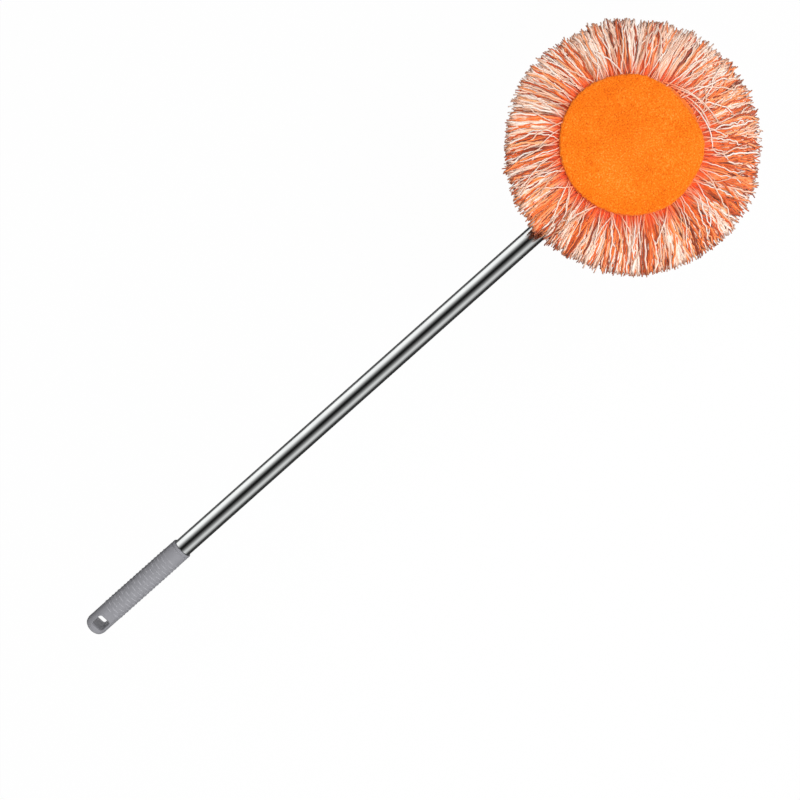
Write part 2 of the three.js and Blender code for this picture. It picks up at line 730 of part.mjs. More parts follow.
// One row: a tape with as many flats as strands, and a strand that grows out of each flat, as one
// mesh. The tape runs all round, or over an arc with an end at each side. Every row has a height of its
// own, and what lies left of the pole mirrors what lies right of it.
function fringeRow({ name, finish, level, count, arc, firstAngle, reach, shares, fallTo }) {
  const tapeTopZ = coverBaseZ - seatGap - level * (tapeHeight + seatGap);
  const rootZ = tapeTopZ - tapeHeight / 2;
  const step = arc / count;
  const allRound = arc === fullTurn;
  const cornerShare = 1 / Math.cos(step / 2);
  const corners = [];
  const faces = [];
  const add = (point) => corners.push(point.x, point.y, point.z) / 3 - 1;
  const tapeEdges = Array.from({ length: allRound ? count : count + 1 }, (_, index) => {
    const angle = firstAngle + index * step;
    const out = new THREE.Vector3(Math.cos(angle), Math.sin(angle), 0).multiplyScalar(cornerShare);
    return [
      add(out.clone().multiplyScalar(tapeOuter).setZ(tapeTopZ)),
      add(out.clone().multiplyScalar(tapeOuter).setZ(tapeTopZ - tapeHeight)),
      add(out.clone().multiplyScalar(tapeInner).setZ(tapeTopZ)),
      add(out.clone().multiplyScalar(tapeInner).setZ(tapeTopZ - tapeHeight)),
    ];
  });
  if (!allRound) {
    const [top, bottom, backTop, backBottom] = tapeEdges[0];
    const [lastTop, lastBottom, lastBackTop, lastBackBottom] = tapeEdges[count];
    faces.push(top, backTop, backBottom, top, backBottom, bottom);
    faces.push(lastTop, lastBottom, lastBackBottom, lastTop, lastBackBottom, lastBackTop);
  }
  for (let index = 0; index < count; index += 1) {
    const [topA, bottomA, backTopA, backBottomA] = tapeEdges[index];
    const [topB, bottomB, backTopB, backBottomB] = tapeEdges[(index + 1) % tapeEdges.length];
    faces.push(backTopA, topA, topB, backTopA, topB, backTopB);
    faces.push(backBottomA, bottomB, bottomA, backBottomA, backBottomB, bottomB);
    faces.push(backTopA, backTopB, backBottomB, backTopA, backBottomB, backBottomA);
    const angle = firstAngle + (index + 1 / 2) * step;
    const outward = new THREE.Vector3(Math.cos(angle), Math.sin(angle), 0);
    const side = new THREE.Vector3(-Math.sin(angle), Math.cos(angle), 0);
    const place = outward.x * count;
    const [lengthShare, swayShare] = scatterSaltShares.map((salt) => scatter(place, salt + level));
    const length = (reach - tapeOuter) * (1 - strandLengthShare * (1 + lengthShare));
    const hand = Math.sign(Math.sin(angle));
    const sway = hand * strandSwayShare * step * reach / 2 * swayShare;
    const path = [[0, 0], ...shares].map(([out, fall]) => outward.clone()
      .multiplyScalar(tapeOuter + length * out)
      .addScaledVector(side, sway * out ** 2)
      .setZ(rootZ - (rootZ - fallTo) * fall));
    const rings = path.map((point, knot) => {
      const from = knot === 0 ? point : path[knot - 1];
      const to = knot === 0 ? point.clone().add(outward) : (path[knot + 1] ?? point);
      const along = to.clone().sub(from).normalize();
      const up = new THREE.Vector3().crossVectors(along, side).normalize();
      return strandCorners.map((corner) => add(point.clone()
        .addScaledVector(side, strandRadius * Math.cos(corner))
        .addScaledVector(up, strandRadius * Math.sin(corner))));
    });
    const [peak, left, right] = rings[0];
    faces.push(bottomA, bottomB, right, bottomA, right, left, bottomB, topB, peak);
    faces.push(bottomB, peak, right, topB, topA, peak, topA, bottomA, left, topA, left, peak);
    for (let knot = 1; knot < rings.length; knot += 1) {
      strandCorners.forEach((_, corner) => {
        const next = (corner + 1) % strandCorners.length;
        const [near, far] = [rings[knot - 1], rings[knot]];
        faces.push(near[corner], near[next], far[next], near[corner], far[next], far[corner]);
      });
    }
    faces.push(...rings[rings.length - 1]);
  }
  const geometry = new THREE.BufferGeometry();
  geometry.setAttribute('position', new THREE.Float32BufferAttribute(corners, 3));
  geometry.setIndex(faces);
  geometry.computeVertexNormals();
  return piece(name, geometry, finish);
}

const upperRow = {
  count: strandsPerUpperRow,
  arc: fullTurn,
  reach: fringeDiameter / 2,
  shares: upperStrandShares,
  fallTo: coverBaseZ - fringeUpperDrop,
};
const upperHalfStep = fullTurn / strandsPerUpperRow / 2;
const lowerRow = {
  finish: 'orangeYarn',
  level: 2,
  count: strandsPerLowerRow,
  arc: THREE.MathUtils.degToRad(lowerRowDegrees),
  reach: fringeDiameter / 2 - fringeLowerSetback,
  shares: lowerStrandShares,
  fallTo: floorZ + strandRadius / 2,
};
const fringeRows = [
  { ...upperRow, name: 'fringe_upper_orange', finish: 'orangeYarn', level: 0, firstAngle: -upperHalfStep },
  { ...upperRow, name: 'fringe_upper_white', finish: 'whiteYarn', level: 1, firstAngle: 0 },
  { ...lowerRow, name: 'fringe_lower_left', firstAngle: quarterTurn - lowerRow.arc / 2 },
  { ...lowerRow, name: 'fringe_lower_right', firstAngle: -quarterTurn - lowerRow.arc / 2 },
];

// Assembly, with the hinge bolt's middle as the origin until the last step

const handle = new THREE.Group();
handle.add(handGrip(), outerTube(), colletSleeve(), lockCollar());

const slidingSection = new THREE.Group();
slidingSection.add(guideBush(), innerTube(), poleSocket(), socketScrew());

const head = new THREE.Group();
head.add(hingeBolt(), hingeNut(), frictionWasher(1, 1), frictionWasher(2, -1));
head.add(hingeBracket(), ...bracketScrewPlaces.map(bracketScrew), mopPlate(), foamPad());

const cover = new THREE.Group();
cover.add(coverBase(), plushPad(), backCuff(), elasticCord(), ...fringeRows.map(fringeRow));

// The origin ends up below the middle of the whole mop, on the surface that it lies on
const mop = new THREE.Group();
mop.add(handle, slidingSection, head, cover);
const extent = new THREE.Box3().setFromObject(mop, true);
const middle = extent.getCenter(new THREE.Vector3());
mop.position.set(-middle.x, -middle.y, -extent.min.z);
mop.updateMatrixWorld(true);

export default mop;
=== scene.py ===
"""A round ceiling mop on a telescopic steel tube. It lies on its back with the pole folded flat behind
the head. Lengths are in metres and in the frame of the CAD part: +X along the pole to the head, +Z up."""

import math

import bmesh
import bpy
from mathutils import Matrix, Vector, noise


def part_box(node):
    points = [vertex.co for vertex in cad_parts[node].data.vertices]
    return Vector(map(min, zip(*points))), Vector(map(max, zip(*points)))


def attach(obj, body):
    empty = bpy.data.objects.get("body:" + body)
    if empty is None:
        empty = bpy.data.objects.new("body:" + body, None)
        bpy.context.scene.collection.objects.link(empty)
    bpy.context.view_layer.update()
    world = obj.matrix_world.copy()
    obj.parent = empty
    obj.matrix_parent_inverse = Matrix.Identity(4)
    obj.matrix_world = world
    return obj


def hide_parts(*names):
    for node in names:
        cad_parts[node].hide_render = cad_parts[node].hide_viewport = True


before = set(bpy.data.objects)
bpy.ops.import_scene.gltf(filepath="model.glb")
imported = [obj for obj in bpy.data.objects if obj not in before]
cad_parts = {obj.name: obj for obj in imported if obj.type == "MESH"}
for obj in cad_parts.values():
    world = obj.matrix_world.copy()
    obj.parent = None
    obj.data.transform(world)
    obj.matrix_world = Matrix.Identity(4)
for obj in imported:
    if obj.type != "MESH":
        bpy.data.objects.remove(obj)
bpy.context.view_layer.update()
scene = bpy.context.scene

MM = 0.001
FULL_TURN = 2 * math.pi

tube_low, tube_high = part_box("outer_tube")
grip_low, grip_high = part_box("hand_grip")
plate_low, plate_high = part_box("mop_plate")
plush_low, plush_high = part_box("plush_pad")
AXIS_Z = (tube_low.z + tube_high.z) / 2
HEAD_X = (plate_low.x + plate_high.x) / 2


# Camera: straight above the mop, turned so that the pole climbs to the right

POLE_TURN = math.radians(41.65)
camera_data = bpy.data.cameras.new("camera")
camera_data.sensor_width = 36
camera_data.lens = 38.6
camera = bpy.data.objects.new("camera", camera_data)
camera.location = (-47.55 * MM, -44.0 * MM, 1126.5 * MM)
camera.rotation_euler = (0, 0, -POLE_TURN)
scene.collection.objects.link(camera)
scene.camera = camera


# Small helpers for meshes

def new_object(name, points, faces):
    mesh = bpy.data.meshes.new(name)
    mesh.from_pydata(points, [], faces)
    obj = bpy.data.objects.new(name, mesh)
    scene.collection.objects.link(obj)
    return obj


def settle(obj, sharp=40):
    """Turns a piece's modifiers into plain mesh, and smooths it but for edges sharper than this"""
    bpy.context.view_layer.update()
    depsgraph = bpy.context.evaluated_depsgraph_get()
    mesh = bpy.data.meshes.new_from_object(obj.evaluated_get(depsgraph))
    obj.modifiers.clear()
    obj.data = mesh
    mesh.name = obj.name
    mesh.shade_smooth()
    if sharp < 180:
        mesh.set_sharp_from_angle(angle=math.radians(sharp))
    return obj


# Points nearer to each other than this are one point
MERGED = 0.002 * MM


def tidy_mesh(obj, gap=MERGED):
    """Merges doubles and turns all faces outwards"""
    work = bmesh.new()
    work.from_mesh(obj.data)
    bmesh.ops.remove_doubles(work, verts=work.verts, dist=gap)
    bmesh.ops.recalc_face_normals(work, faces=work.faces)
    work.to_mesh(obj.data)
    work.free()
    return obj


def bevel(obj, width, segments=2, angle=40):
    """Rounds the edges that are sharper than this angle"""
    modifier = obj.modifiers.new("edges", "BEVEL")
    modifier.width = width
    modifier.segments = segments
    modifier.limit_method = "ANGLE"
    modifier.angle_limit = math.radians(angle)
    modifier.use_clamp_overlap = True
    return obj


def grid_faces(rings, sides, ring_closed=False):
    """Faces between rings of points, each ring closed on itself"""
    faces = []
    for ring in range(rings if ring_closed else rings - 1):
        for side in range(sides):
            a = ring * sides + side
            b = ring * sides + (side + 1) % sides
            c = (ring + 1) % rings * sides + (side + 1) % sides
            d = (ring + 1) % rings * sides + side
            faces.append((a, b, c, d))
    return faces


def revolved(name, profile, axis, centre, sides=128, closed=True):
    """A solid turned about an axis through centre, from (along, radius) points. An open profile ends
    on the axis."""
    points = []
    for along, radius in profile:
        for side in range(sides):
            angle = FULL_TURN * side / sides
            across, up = radius * math.cos(angle), radius * math.sin(angle)
            offset = (along, across, up) if axis == "X" else (across, up, along)
            points.append(Vector(centre) + Vector(offset))
    return tidy_mesh(new_object(name, points, grid_faces(len(profile), sides, closed)))


def between(before, start, end, after, t):
    """A smooth curve's value at a share t of the way from start to end, by the points on either side"""
    slope = end - before
    square = 2 * before - 5 * start + 4 * end - after
    cube = 3 * start - before - 3 * end + after
    return (2 * start + slope * t + square * t * t + cube * t * t * t) / 2


def through(points, steps):
    """A smooth path through points of any number of values, with this many steps between two"""
    path = []
    last = len(points) - 1
    for index in range(last):
        four = [points[min(max(index + k, 0), last)] for k in (-1, 0, 1, 2)]
        for step in range(steps):
            path.append(tuple(between(*values, step / steps) for values in zip(*four)))
    path.append(tuple(points[last]))
    return path


def copy_of(node, name):
    """A merged copy of a CAD node's mesh, from which a finer piece is made"""
    obj = bpy.data.objects.new(name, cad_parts[node].data.copy())
    obj.data.name = name
    obj.data.materials.clear()
    scene.collection.objects.link(obj)
    work = bmesh.new()
    work.from_mesh(obj.data)
    bmesh.ops.remove_doubles(work, verts=work.verts, dist=MERGED)
    bmesh.ops.dissolve_limit(work, angle_limit=math.radians(1), verts=work.verts, edges=work.edges)
    work.to_mesh(obj.data)
    work.free()
    return obj


def fit(piece, body, slot, material, *stands_for):
    """Gives a finished piece its material and its body, and hides the CAD nodes that it stands for"""
    piece.data.materials.clear()
    piece.data.materials.append(material)
    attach(piece, body)
    if stands_for:
        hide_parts(*stands_for)
    return piece


# Small helpers for node trees

def linear(code):
    """An sRGB colour written as #RRGGBB, as the linear colour that a socket takes"""
    shares = [int(code[start:start + 2], 16) / 255 for start in (1, 3, 5)]
    return (*(s / 12.92 if s <= 0.04045 else ((s + 0.055) / 1.055) ** 2.4 for s in shares), 1)


def add(tree, kind, inputs=(), **settings):
    """Adds a node with its settings and gives its outputs. An input, found by its label, or by its number
    where labels repeat, is a value or another node's output."""
    node = tree.nodes.new(kind)
    for name, value in settings.items():
        setattr(node, name, value)
    for name, value in dict(inputs).items():
        if isinstance(value, bpy.types.NodeSocket):
            tree.links.new(value, node.inputs[name])
        else:
            node.inputs[name].default_value = value
    return node.outputs


def fill_ramp(output, stops, interpolation="LINEAR"):
    """Sets a Color Ramp's stops, each a place and a colour, and gives its colour output"""
    ramp = output[0].node.color_ramp
    ramp.interpolation = interpolation
    while len(ramp.elements) < len(stops):
        ramp.elements.new(1)
    for element, (place, colour) in zip(ramp.elements, stops):
        element.position = place
        element.color = linear(colour) if isinstance(colour, str) else (colour, colour, colour, 1)
    return output[0]


def finish_of(name, **sockets):
    """A new material with a Principled shader whose sockets have these values"""
    material = bpy.data.materials.new(name)
    material.use_nodes = True
    tree = material.node_tree
    shader = tree.nodes["Principled BSDF"]
    for socket, value in sockets.items():
        shader.inputs[socket.replace("_", " ")].default_value = value
    return material, tree, shader


def dress(tree, shader, **outputs):
    """Links node outputs to the shader's sockets of these names"""
    for socket, output in outputs.items():
        tree.links.new(output, shader.inputs[socket.replace("_", " ")])


# Materials. Every pattern's scale is one over its real grain in metres.

def moulded_plastic(name, colour, roughness, grain, ior=1.49, depth=0.02 * MM, speckle=0.04):
    """Moulded plastic: an even colour with a faint cloudiness and the fine grain of the steel mould"""
    material, tree, shader = finish_of(name, Roughness=roughness, IOR=ior)
    place = add(tree, "ShaderNodeTexCoord")["Object"]
    cloud = add(tree, "ShaderNodeTexNoise", {"Vector": place, "Scale": 1 / (14 * MM), "Detail": 4})["Fac"]
    fine = add(tree, "ShaderNodeTexNoise", {"Vector": place, "Scale": 1 / grain, "Detail": 2})["Fac"]
    shade = add(tree, "ShaderNodeMapRange", {
        "Value": cloud, "To Min": 1 - speckle, "To Max": 1 + speckle})[0]
    hue = add(tree, "ShaderNodeVectorMath", {0: linear(colour)[:3], "Scale": shade}, operation="SCALE")[0]
    dull = add(tree, "ShaderNodeMapRange", {
        "Value": fine, "To Min": roughness - 0.07, "To Max": roughness + 0.07})[0]
    bump = add(tree, "ShaderNodeBump", {"Height": fine, "Strength": 0.25, "Distance": depth})[0]
    dress(tree, shader, Base_Color=hue, Roughness=dull, Normal=bump)
    return material


def drawn_steel(name, colour, roughness):
    """Polished stainless tube: mirror-like, with faint lines along it from drawing and buffing"""
    material, tree, shader = finish_of(name, Metallic=1, Roughness=roughness)
    place = add(tree, "ShaderNodeTexCoord")["Object"]
    lengthwise = add(tree, "ShaderNodeMapping", {"Vector": place, "Scale": (0.02, 1, 1)})[0]
    lines = add(tree, "ShaderNodeTexNoise", {
        "Vector": lengthwise, "Scale": 1 / (0.5 * MM), "Detail": 3})["Fac"]
    smears = add(tree, "ShaderNodeTexNoise", {"Vector": place, "Scale": 1 / (30 * MM), "Detail": 5})["Fac"]
    both = add(tree, "ShaderNodeMath", {0: lines, 1: smears}, operation="MULTIPLY")[0]
    dull = add(tree, "ShaderNodeMapRange", {
        "Value": both, "From Min": 0.1, "From Max": 0.4,
        "To Min": roughness - 0.03, "To Max": roughness + 0.05})[0]
    tint = fill_ramp(add(tree, "ShaderNodeValToRGB", {0: smears}), [(0.3, colour), (0.7, "#DCDEDD")])
    bump = add(tree, "ShaderNodeBump", {"Height": lines, "Strength": 0.08, "Distance": 0.004 * MM})[0]
    dress(tree, shader, Roughness=dull, Base_Color=tint, Normal=bump)
    return material


def zinc_plate(name, colour, roughness):
    """Zinc-plated steel: a soft grey gleam with cloudy patches"""
    material, tree, shader = finish_of(name, Metallic=1, Roughness=roughness)
    place = add(tree, "ShaderNodeTexCoord")["Object"]
    cloud = add(tree, "ShaderNodeTexNoise", {"Vector": place, "Scale": 1 / (1.5 * MM), "Detail": 5})["Fac"]
    tint = fill_ramp(add(tree, "ShaderNodeValToRGB", {0: cloud}), [(0.35, colour), (0.65, "#D2D3D0")])
    dull = add(tree, "ShaderNodeMapRange", {
        "Value": cloud, "To Min": roughness - 0.1, "To Max": roughness + 0.1})[0]
    dress(tree, shader, Base_Color=tint, Roughness=dull)
    return material


def open_foam(name, colour):
    """Polyether foam: matt, with open cells about 0.8 mm wide whose pits get painted shade"""
    material, tree, shader = finish_of(name, Roughness=0.95, IOR=1.45)
    place = add(tree, "ShaderNodeTexCoord")["Object"]
    cells = add(tree, "ShaderNodeTexVoronoi", {"Vector": place, "Scale": 1 / (0.8 * MM)})["Distance"]
    # Painted shade in the pits of the cells
    tint = fill_ramp(add(tree, "ShaderNodeValToRGB", {0: cells}), [(0.1, "#A8A49A"), (0.5, colour)])
    bump = add(tree, "ShaderNodeBump", {"Height": cells, "Strength": 0.6, "Distance": 0.3 * MM})[0]
    dress(tree, shader, Base_Color=tint, Normal=bump)
    return material


# How many waves a wave texture of scale 1 has in a metre
WAVES = 3.2


def woven_cloth(name, warp, gap_shade_colour, thread):
    """Plain-woven polyester: threads over and under each other, with painted shade in the gaps"""
    material, tree, shader = finish_of(name, Roughness=0.9, IOR=1.46, Sheen_Weight=0.25)
    place = add(tree, "ShaderNodeTexCoord")["Object"]
    across, along = (
        add(tree, "ShaderNodeTexWave", {"Vector": place, "Scale": 1 / (thread * WAVES)},
            bands_direction=way)["Fac"] for way in ("X", "Y"))
    weave = add(tree, "ShaderNodeMath", {0: across, 1: along}, operation="MULTIPLY")[0]
    worn = add(tree, "ShaderNodeTexNoise", {"Vector": place, "Scale": 1 / (9 * MM), "Detail": 4})["Fac"]
    mixed = add(tree, "ShaderNodeMath", {0: weave, 1: worn}, operation="ADD")[0]
    # The second colour is painted shade in the gaps between the threads, and it also shows in random
    # patches
    tint = fill_ramp(add(tree, "ShaderNodeValToRGB", {0: mixed}), [(0.3, gap_shade_colour), (1, warp)])
    bump = add(tree, "ShaderNodeBump", {"Height": weave, "Strength": 0.5, "Distance": 0.15 * MM})[0]
    dress(tree, shader, Base_Color=tint, Normal=bump)
    return material


def plush_pile(name):
    """Cut microfibre pile: soft and matt with a pale sheen at grazing angles, and fine grain where the
    tips of the tufts, about 2 mm apart, lean apart, with painted shade in the gaps between them"""
    material, tree, shader = finish_of(name, Roughness=1, IOR=1.46, Sheen_Weight=0.35, Sheen_Roughness=0.5)
    shader.inputs["Sheen Tint"].default_value = linear("#FFC890")
    place = add(tree, "ShaderNodeTexCoord")["Object"]
    tufts = add(tree, "ShaderNodeTexNoise", {
        "Vector": place, "Scale": 1 / (1.9 * MM), "Detail": 5, "Roughness": 0.7})["Fac"]
    nap = add(tree, "ShaderNodeTexNoise", {"Vector": place, "Scale": 1 / (40 * MM), "Detail": 3})["Fac"]
    swept = add(tree, "ShaderNodeMapRange", {
        "Value": nap, "From Min": 0.3, "From Max": 0.7, "To Min": -0.05, "To Max": 0.03})[0]
    leaning = add(tree, "ShaderNodeMath", {0: tufts, 1: swept}, operation="ADD")[0]
    # The darker stops are painted shade in the gaps between the tufts
    tint = fill_ramp(add(tree, "ShaderNodeValToRGB", {0: leaning}),
                     [(0.3, "#CC4A00"), (0.43, "#F06C04"), (0.56, "#FD8414"), (0.7, "#FFA855")])
    bump = add(tree, "ShaderNodeBump", {"Height": tufts, "Strength": 0.45, "Distance": 0.4 * MM})[0]
    dress(tree, shader, Base_Color=tint, Normal=bump)
    return material


def spun_yarn(name, tones, root, cut_end):
    """Twisted cotton yarn: each strand a little lighter or darker than the next, with painted shade and
    orange bounce light near the root, more in some tufts and on one side, and duller at its cut end. The
    fibres are too fine to show, so their bundles are drawn, 0.9 mm apart."""
    material, tree, shader = finish_of(
        name, Roughness=0.95, IOR=1.46, Sheen_Weight=0.3, Sheen_Roughness=0.6)
    tone, along, root_shade = (add(tree, "ShaderNodeAttribute", attribute_name=label)["Fac"]
                           for label in ("tone", "along", "root_shade"))
    place = add(tree, "ShaderNodeTexCoord")["Object"]
    fibres = add(tree, "ShaderNodeTexNoise", {
        "Vector": place, "Scale": 1 / (0.9 * MM), "Detail": 3})["Fac"]
    mixed = add(tree, "ShaderNodeMath", {0: fibres, 1: 0.5, 2: tone}, operation="MULTIPLY_ADD")[0]
    mixed = add(tree, "ShaderNodeMath", {0: mixed, 1: 0.25}, operation="SUBTRACT")[0]
    tint = fill_ramp(add(tree, "ShaderNodeValToRGB", {0: mixed}), tones)
    # Painted shade near the root, tinted by the orange light that bounces between the strands there
    root_shade_mask = add(tree, "ShaderNodeMapRange", {
        "Value": along, "From Min": 0.05, "From Max": 0.42, "To Min": 1, "To Max": 0},
        interpolation_type="SMOOTHSTEP")[0]
    root_shade_mask = add(tree, "ShaderNodeMath", {0: root_shade_mask, 1: root_shade}, operation="MULTIPLY")[0]
    root_shaded = add(tree, "ShaderNodeMix", {0: root_shade_mask, 6: tint, 7: linear(root)}, data_type="RGBA")[2]
    at_end = add(tree, "ShaderNodeMapRange", {
        "Value": along, "From Min": 0.93, "From Max": 0.99, "To Min": 0, "To Max": 0.75})[0]
    ended = add(tree, "ShaderNodeMix", {0: at_end, 6: root_shaded, 7: linear(cut_end)}, data_type="RGBA")[2]
    bump = add(tree, "ShaderNodeBump", {"Height": fibres, "Strength": 0.5, "Distance": 0.3 * MM})[0]
    dress(tree, shader, Base_Color=ended, Normal=bump)
    return material


# The grip's skin and its raised bars are a darker and a lighter copy of one grey: painted shade between
# the bars, painted highlight on them
grip_plastic = moulded_plastic("grey moulded polypropylene", "#8B8B90", 0.5, 0.5 * MM, depth=0.03 * MM)
bar_plastic_painted_lighter = moulded_plastic("grey polypropylene painted lighter on bars", "#9F9FA4", 0.4, 0.5 * MM)
collar_plastic = moulded_plastic("dark glass-filled nylon", "#54565B", 0.42, 0.4 * MM, ior=1.53)
hinge_plastic = moulded_plastic("grey moulded ABS", "#8F9196", 0.48, 0.6 * MM, ior=1.53)
bush_plastic = moulded_plastic("white acetal", "#E9E7DF", 0.35, 0.8 * MM, ior=1.48, speckle=0.02)
plate_plastic = moulded_plastic("white moulded polypropylene", "#E8E8E6", 0.45, 0.7 * MM, speckle=0.02)
tube_steel = drawn_steel("polished stainless steel", "#D0D2D2", 0.12)
screw_steel = zinc_plate("zinc-plated steel", "#B4B7BB", 0.34)
pad_foam = open_foam("polyether foam", "#DAD7CD")
cover_cloth = woven_cloth("woven polyester cloth", "#F98A35", "#E0641A", 0.7 * MM)
tape_cloth = woven_cloth("woven binding tape", "#F47A2A", "#D95A18", 0.6 * MM)
cord_elastic = woven_cloth("braided elastic", "#F5F2EA", "#D8D2C6", 0.5 * MM)
pad_plush = plush_pile("orange microfibre pile")
# Each yarn's second colour is the painted shade near the root, tinted by orange bounce light
yarn_orange = spun_yarn(
    "orange cotton yarn",
    [(0.12, "#8C340A"), (0.34, "#E05A12"), (0.62, "#FF8636"), (0.95, "#FFBA84")], "#F45204", "#8C441E")
yarn_white = spun_yarn(
    "undyed cotton yarn",
    [(0.08, "#D8946C"), (0.3, "#FBCAAC"), (0.6, "#FFE2D0"), (1, "#FFF8F0")], "#FF8034", "#A46A4C")


# Geometry Nodes: what repeats

def new_tree(name, counts, measures):
    """An empty Geometry Nodes tree with these named inputs and one for the material, and the outputs of
    its Group Input"""
    tree = bpy.data.node_groups.new(name, "GeometryNodeTree")
    tree.interface.new_socket("Geometry", in_out="OUTPUT", socket_type="NodeSocketGeometry")
    for kind, labels in (("Int", counts), ("Float", measures), ("Material", ["Material"])):
        for label in labels:
            tree.interface.new_socket(label, in_out="INPUT", socket_type="NodeSocket" + kind)
    return tree, add(tree, "NodeGroupInput")


def end_tree(tree, geometry, material):
    """Ends a tree: instances become real, and everything gets the material"""
    real = add(tree, "GeometryNodeRealizeInstances", {"Geometry": geometry})[0]
    dressed = add(tree, "GeometryNodeSetMaterial", {"Geometry": real, "Material": material})[0]
    end = tree.nodes.new("NodeGroupOutput")
    tree.links.new(dressed, end.inputs["Geometry"])
    return tree


def grown(name, tree, values, sharp=40):
    """A piece: the plain mesh that a tree makes with these values for its named inputs"""
    obj = new_object(name, [], [])
    modifier = obj.modifiers.new("grow", "NODES")
    modifier.node_group = tree
    for item in tree.interface.items_tree:
        if item.in_out == "INPUT":
            modifier[item.identifier] = values[item.name]
    return settle(obj, sharp)


def rib_tree():
    """Rows of short raised bars round a grip: every other row is set off by half a bar, and near the
    grip's flats they follow the slope that runs out of them"""
    tree, given = new_tree("grip ribs", ["Rows", "Bars in a row"], [
        "First row", "Pitch", "Radius", "Bar thickness", "Bar share", "Flat height", "Flat end", "Slope",
        "Axis height"])
    count = add(tree, "ShaderNodeMath", {0: given["Rows"], 1: given["Bars in a row"]},
                operation="MULTIPLY")[0]
    points = add(tree, "GeometryNodePoints", {"Count": count})[0]
    index = add(tree, "GeometryNodeInputIndex")[0]
    ratio = add(tree, "ShaderNodeMath", {0: index, 1: given["Bars in a row"]}, operation="DIVIDE")[0]
    row = add(tree, "ShaderNodeMath", {0: ratio}, operation="FLOOR")[0]
    share = add(tree, "ShaderNodeMath", {0: ratio}, operation="FRACT")[0]
    odd = add(tree, "ShaderNodeMath", {0: row, 1: 2}, operation="MODULO")[0]
    shift = add(tree, "ShaderNodeMath", {0: odd, 1: given["Bars in a row"]}, operation="DIVIDE")[0]
    half = add(tree, "ShaderNodeMath", {0: shift, 1: 0.5, 2: share}, operation="MULTIPLY_ADD")[0]
    turn = add(tree, "ShaderNodeMath", {0: half, 1: FULL_TURN}, operation="MULTIPLY")[0]
    along = add(tree, "ShaderNodeMath", {0: row, 1: given["Pitch"], 2: given["First row"]},
                operation="MULTIPLY_ADD")[0]
    place = add(tree, "ShaderNodeCombineXYZ", {0: along})[0]
    placed = add(tree, "GeometryNodeSetPosition", {"Geometry": points, "Position": place})[0]
    sweep = add(tree, "ShaderNodeMath", {0: FULL_TURN, 1: given["Bars in a row"]}, operation="DIVIDE")[0]
    bar_sweep = add(tree, "ShaderNodeMath", {0: sweep, 1: given["Bar share"]}, operation="MULTIPLY")[0]
    middle = add(tree, "ShaderNodeMath", {0: given["Radius"], 1: given["Bar thickness"]},
                 operation="SUBTRACT")[0]
    arc = add(tree, "GeometryNodeCurveArc", {
        "Resolution": 7, "Radius": middle, "Start Angle": 0, "Sweep Angle": bar_sweep})[0]
    upright = add(tree, "GeometryNodeTransform", {"Geometry": arc, "Rotation": (0, math.pi / 2, 0)})[0]
    facing = add(tree, "ShaderNodeCombineXYZ", {0: turn})[0]
    bars = add(tree, "GeometryNodeInstanceOnPoints", {
        "Points": placed, "Instance": upright, "Rotation": facing})[0]
    real = add(tree, "GeometryNodeRealizeInstances", {"Geometry": bars})[0]

    # Where the grip is flatter than it is round, the bars lie on the flat or on its slope
    spot = add(tree, "GeometryNodeInputPosition")[0]
    parts = add(tree, "ShaderNodeSeparateXYZ", {0: spot})
    from_flat = add(tree, "ShaderNodeMath", {0: parts["X"], 1: given["Flat end"]}, operation="SUBTRACT")[0]
    rise = add(tree, "ShaderNodeMath", {0: from_flat, 1: given["Slope"], 2: given["Flat height"]},
               operation="MULTIPLY_ADD")[0]
    most = add(tree, "ShaderNodeMath", {0: rise, 1: given["Bar thickness"]}, operation="SUBTRACT")[0]
    least = add(tree, "ShaderNodeMath", {0: 0, 1: most}, operation="SUBTRACT")[0]
    below = add(tree, "ShaderNodeMath", {0: parts["Z"], 1: most}, operation="MINIMUM")[0]
    kept = add(tree, "ShaderNodeMath", {0: below, 1: least}, operation="MAXIMUM")[0]
    raised = add(tree, "ShaderNodeMath", {0: kept, 1: given["Axis height"]}, operation="ADD")[0]
    bent_place = add(tree, "ShaderNodeCombineXYZ", {0: parts["X"], 1: parts["Y"], 2: raised})[0]
    bent = add(tree, "GeometryNodeSetPosition", {"Geometry": real, "Position": bent_place})[0]

    # The bars are round rods, thinner towards both ends
    factor = add(tree, "GeometryNodeSplineParameter")["Factor"]
    hump = add(tree, "ShaderNodeMath", {0: factor, 1: math.pi}, operation="MULTIPLY")[0]
    swell = add(tree, "ShaderNodeMath", {0: hump}, operation="SINE")[0]
    round_end = add(tree, "ShaderNodeMath", {0: swell, 1: 0.3}, operation="POWER")[0]
    profile = add(tree, "GeometryNodeCurvePrimitiveCircle", {
        "Resolution": 8, "Radius": given["Bar thickness"]})[0]
    mesh = add(tree, "GeometryNodeCurveToMesh", {
        "Curve": bent, "Profile Curve": profile, "Scale": round_end, "Fill Caps": True})[0]
    return end_tree(tree, mesh, given["Material"])


# How far the fringe is combed round, in degrees at the tips, by the angle in degrees from +X. COMBED has
# it as a ramp's stops: 0 is the most combed one way, and 1 the most the other way.
MOST_COMBED = 10
COMBED_BY_ANGLE = ((0, -3), (30, -2), (60, 1), (85, 4), (105, 8), (130, 10), (150, 7), (175, 2),
                   (210, -2), (260, 0), (290, -2), (330, 2), (360, -3))
COMBED = [(degrees / 360, 0.5 + turn / (2 * MOST_COMBED)) for degrees, turn in COMBED_BY_ANGLE]


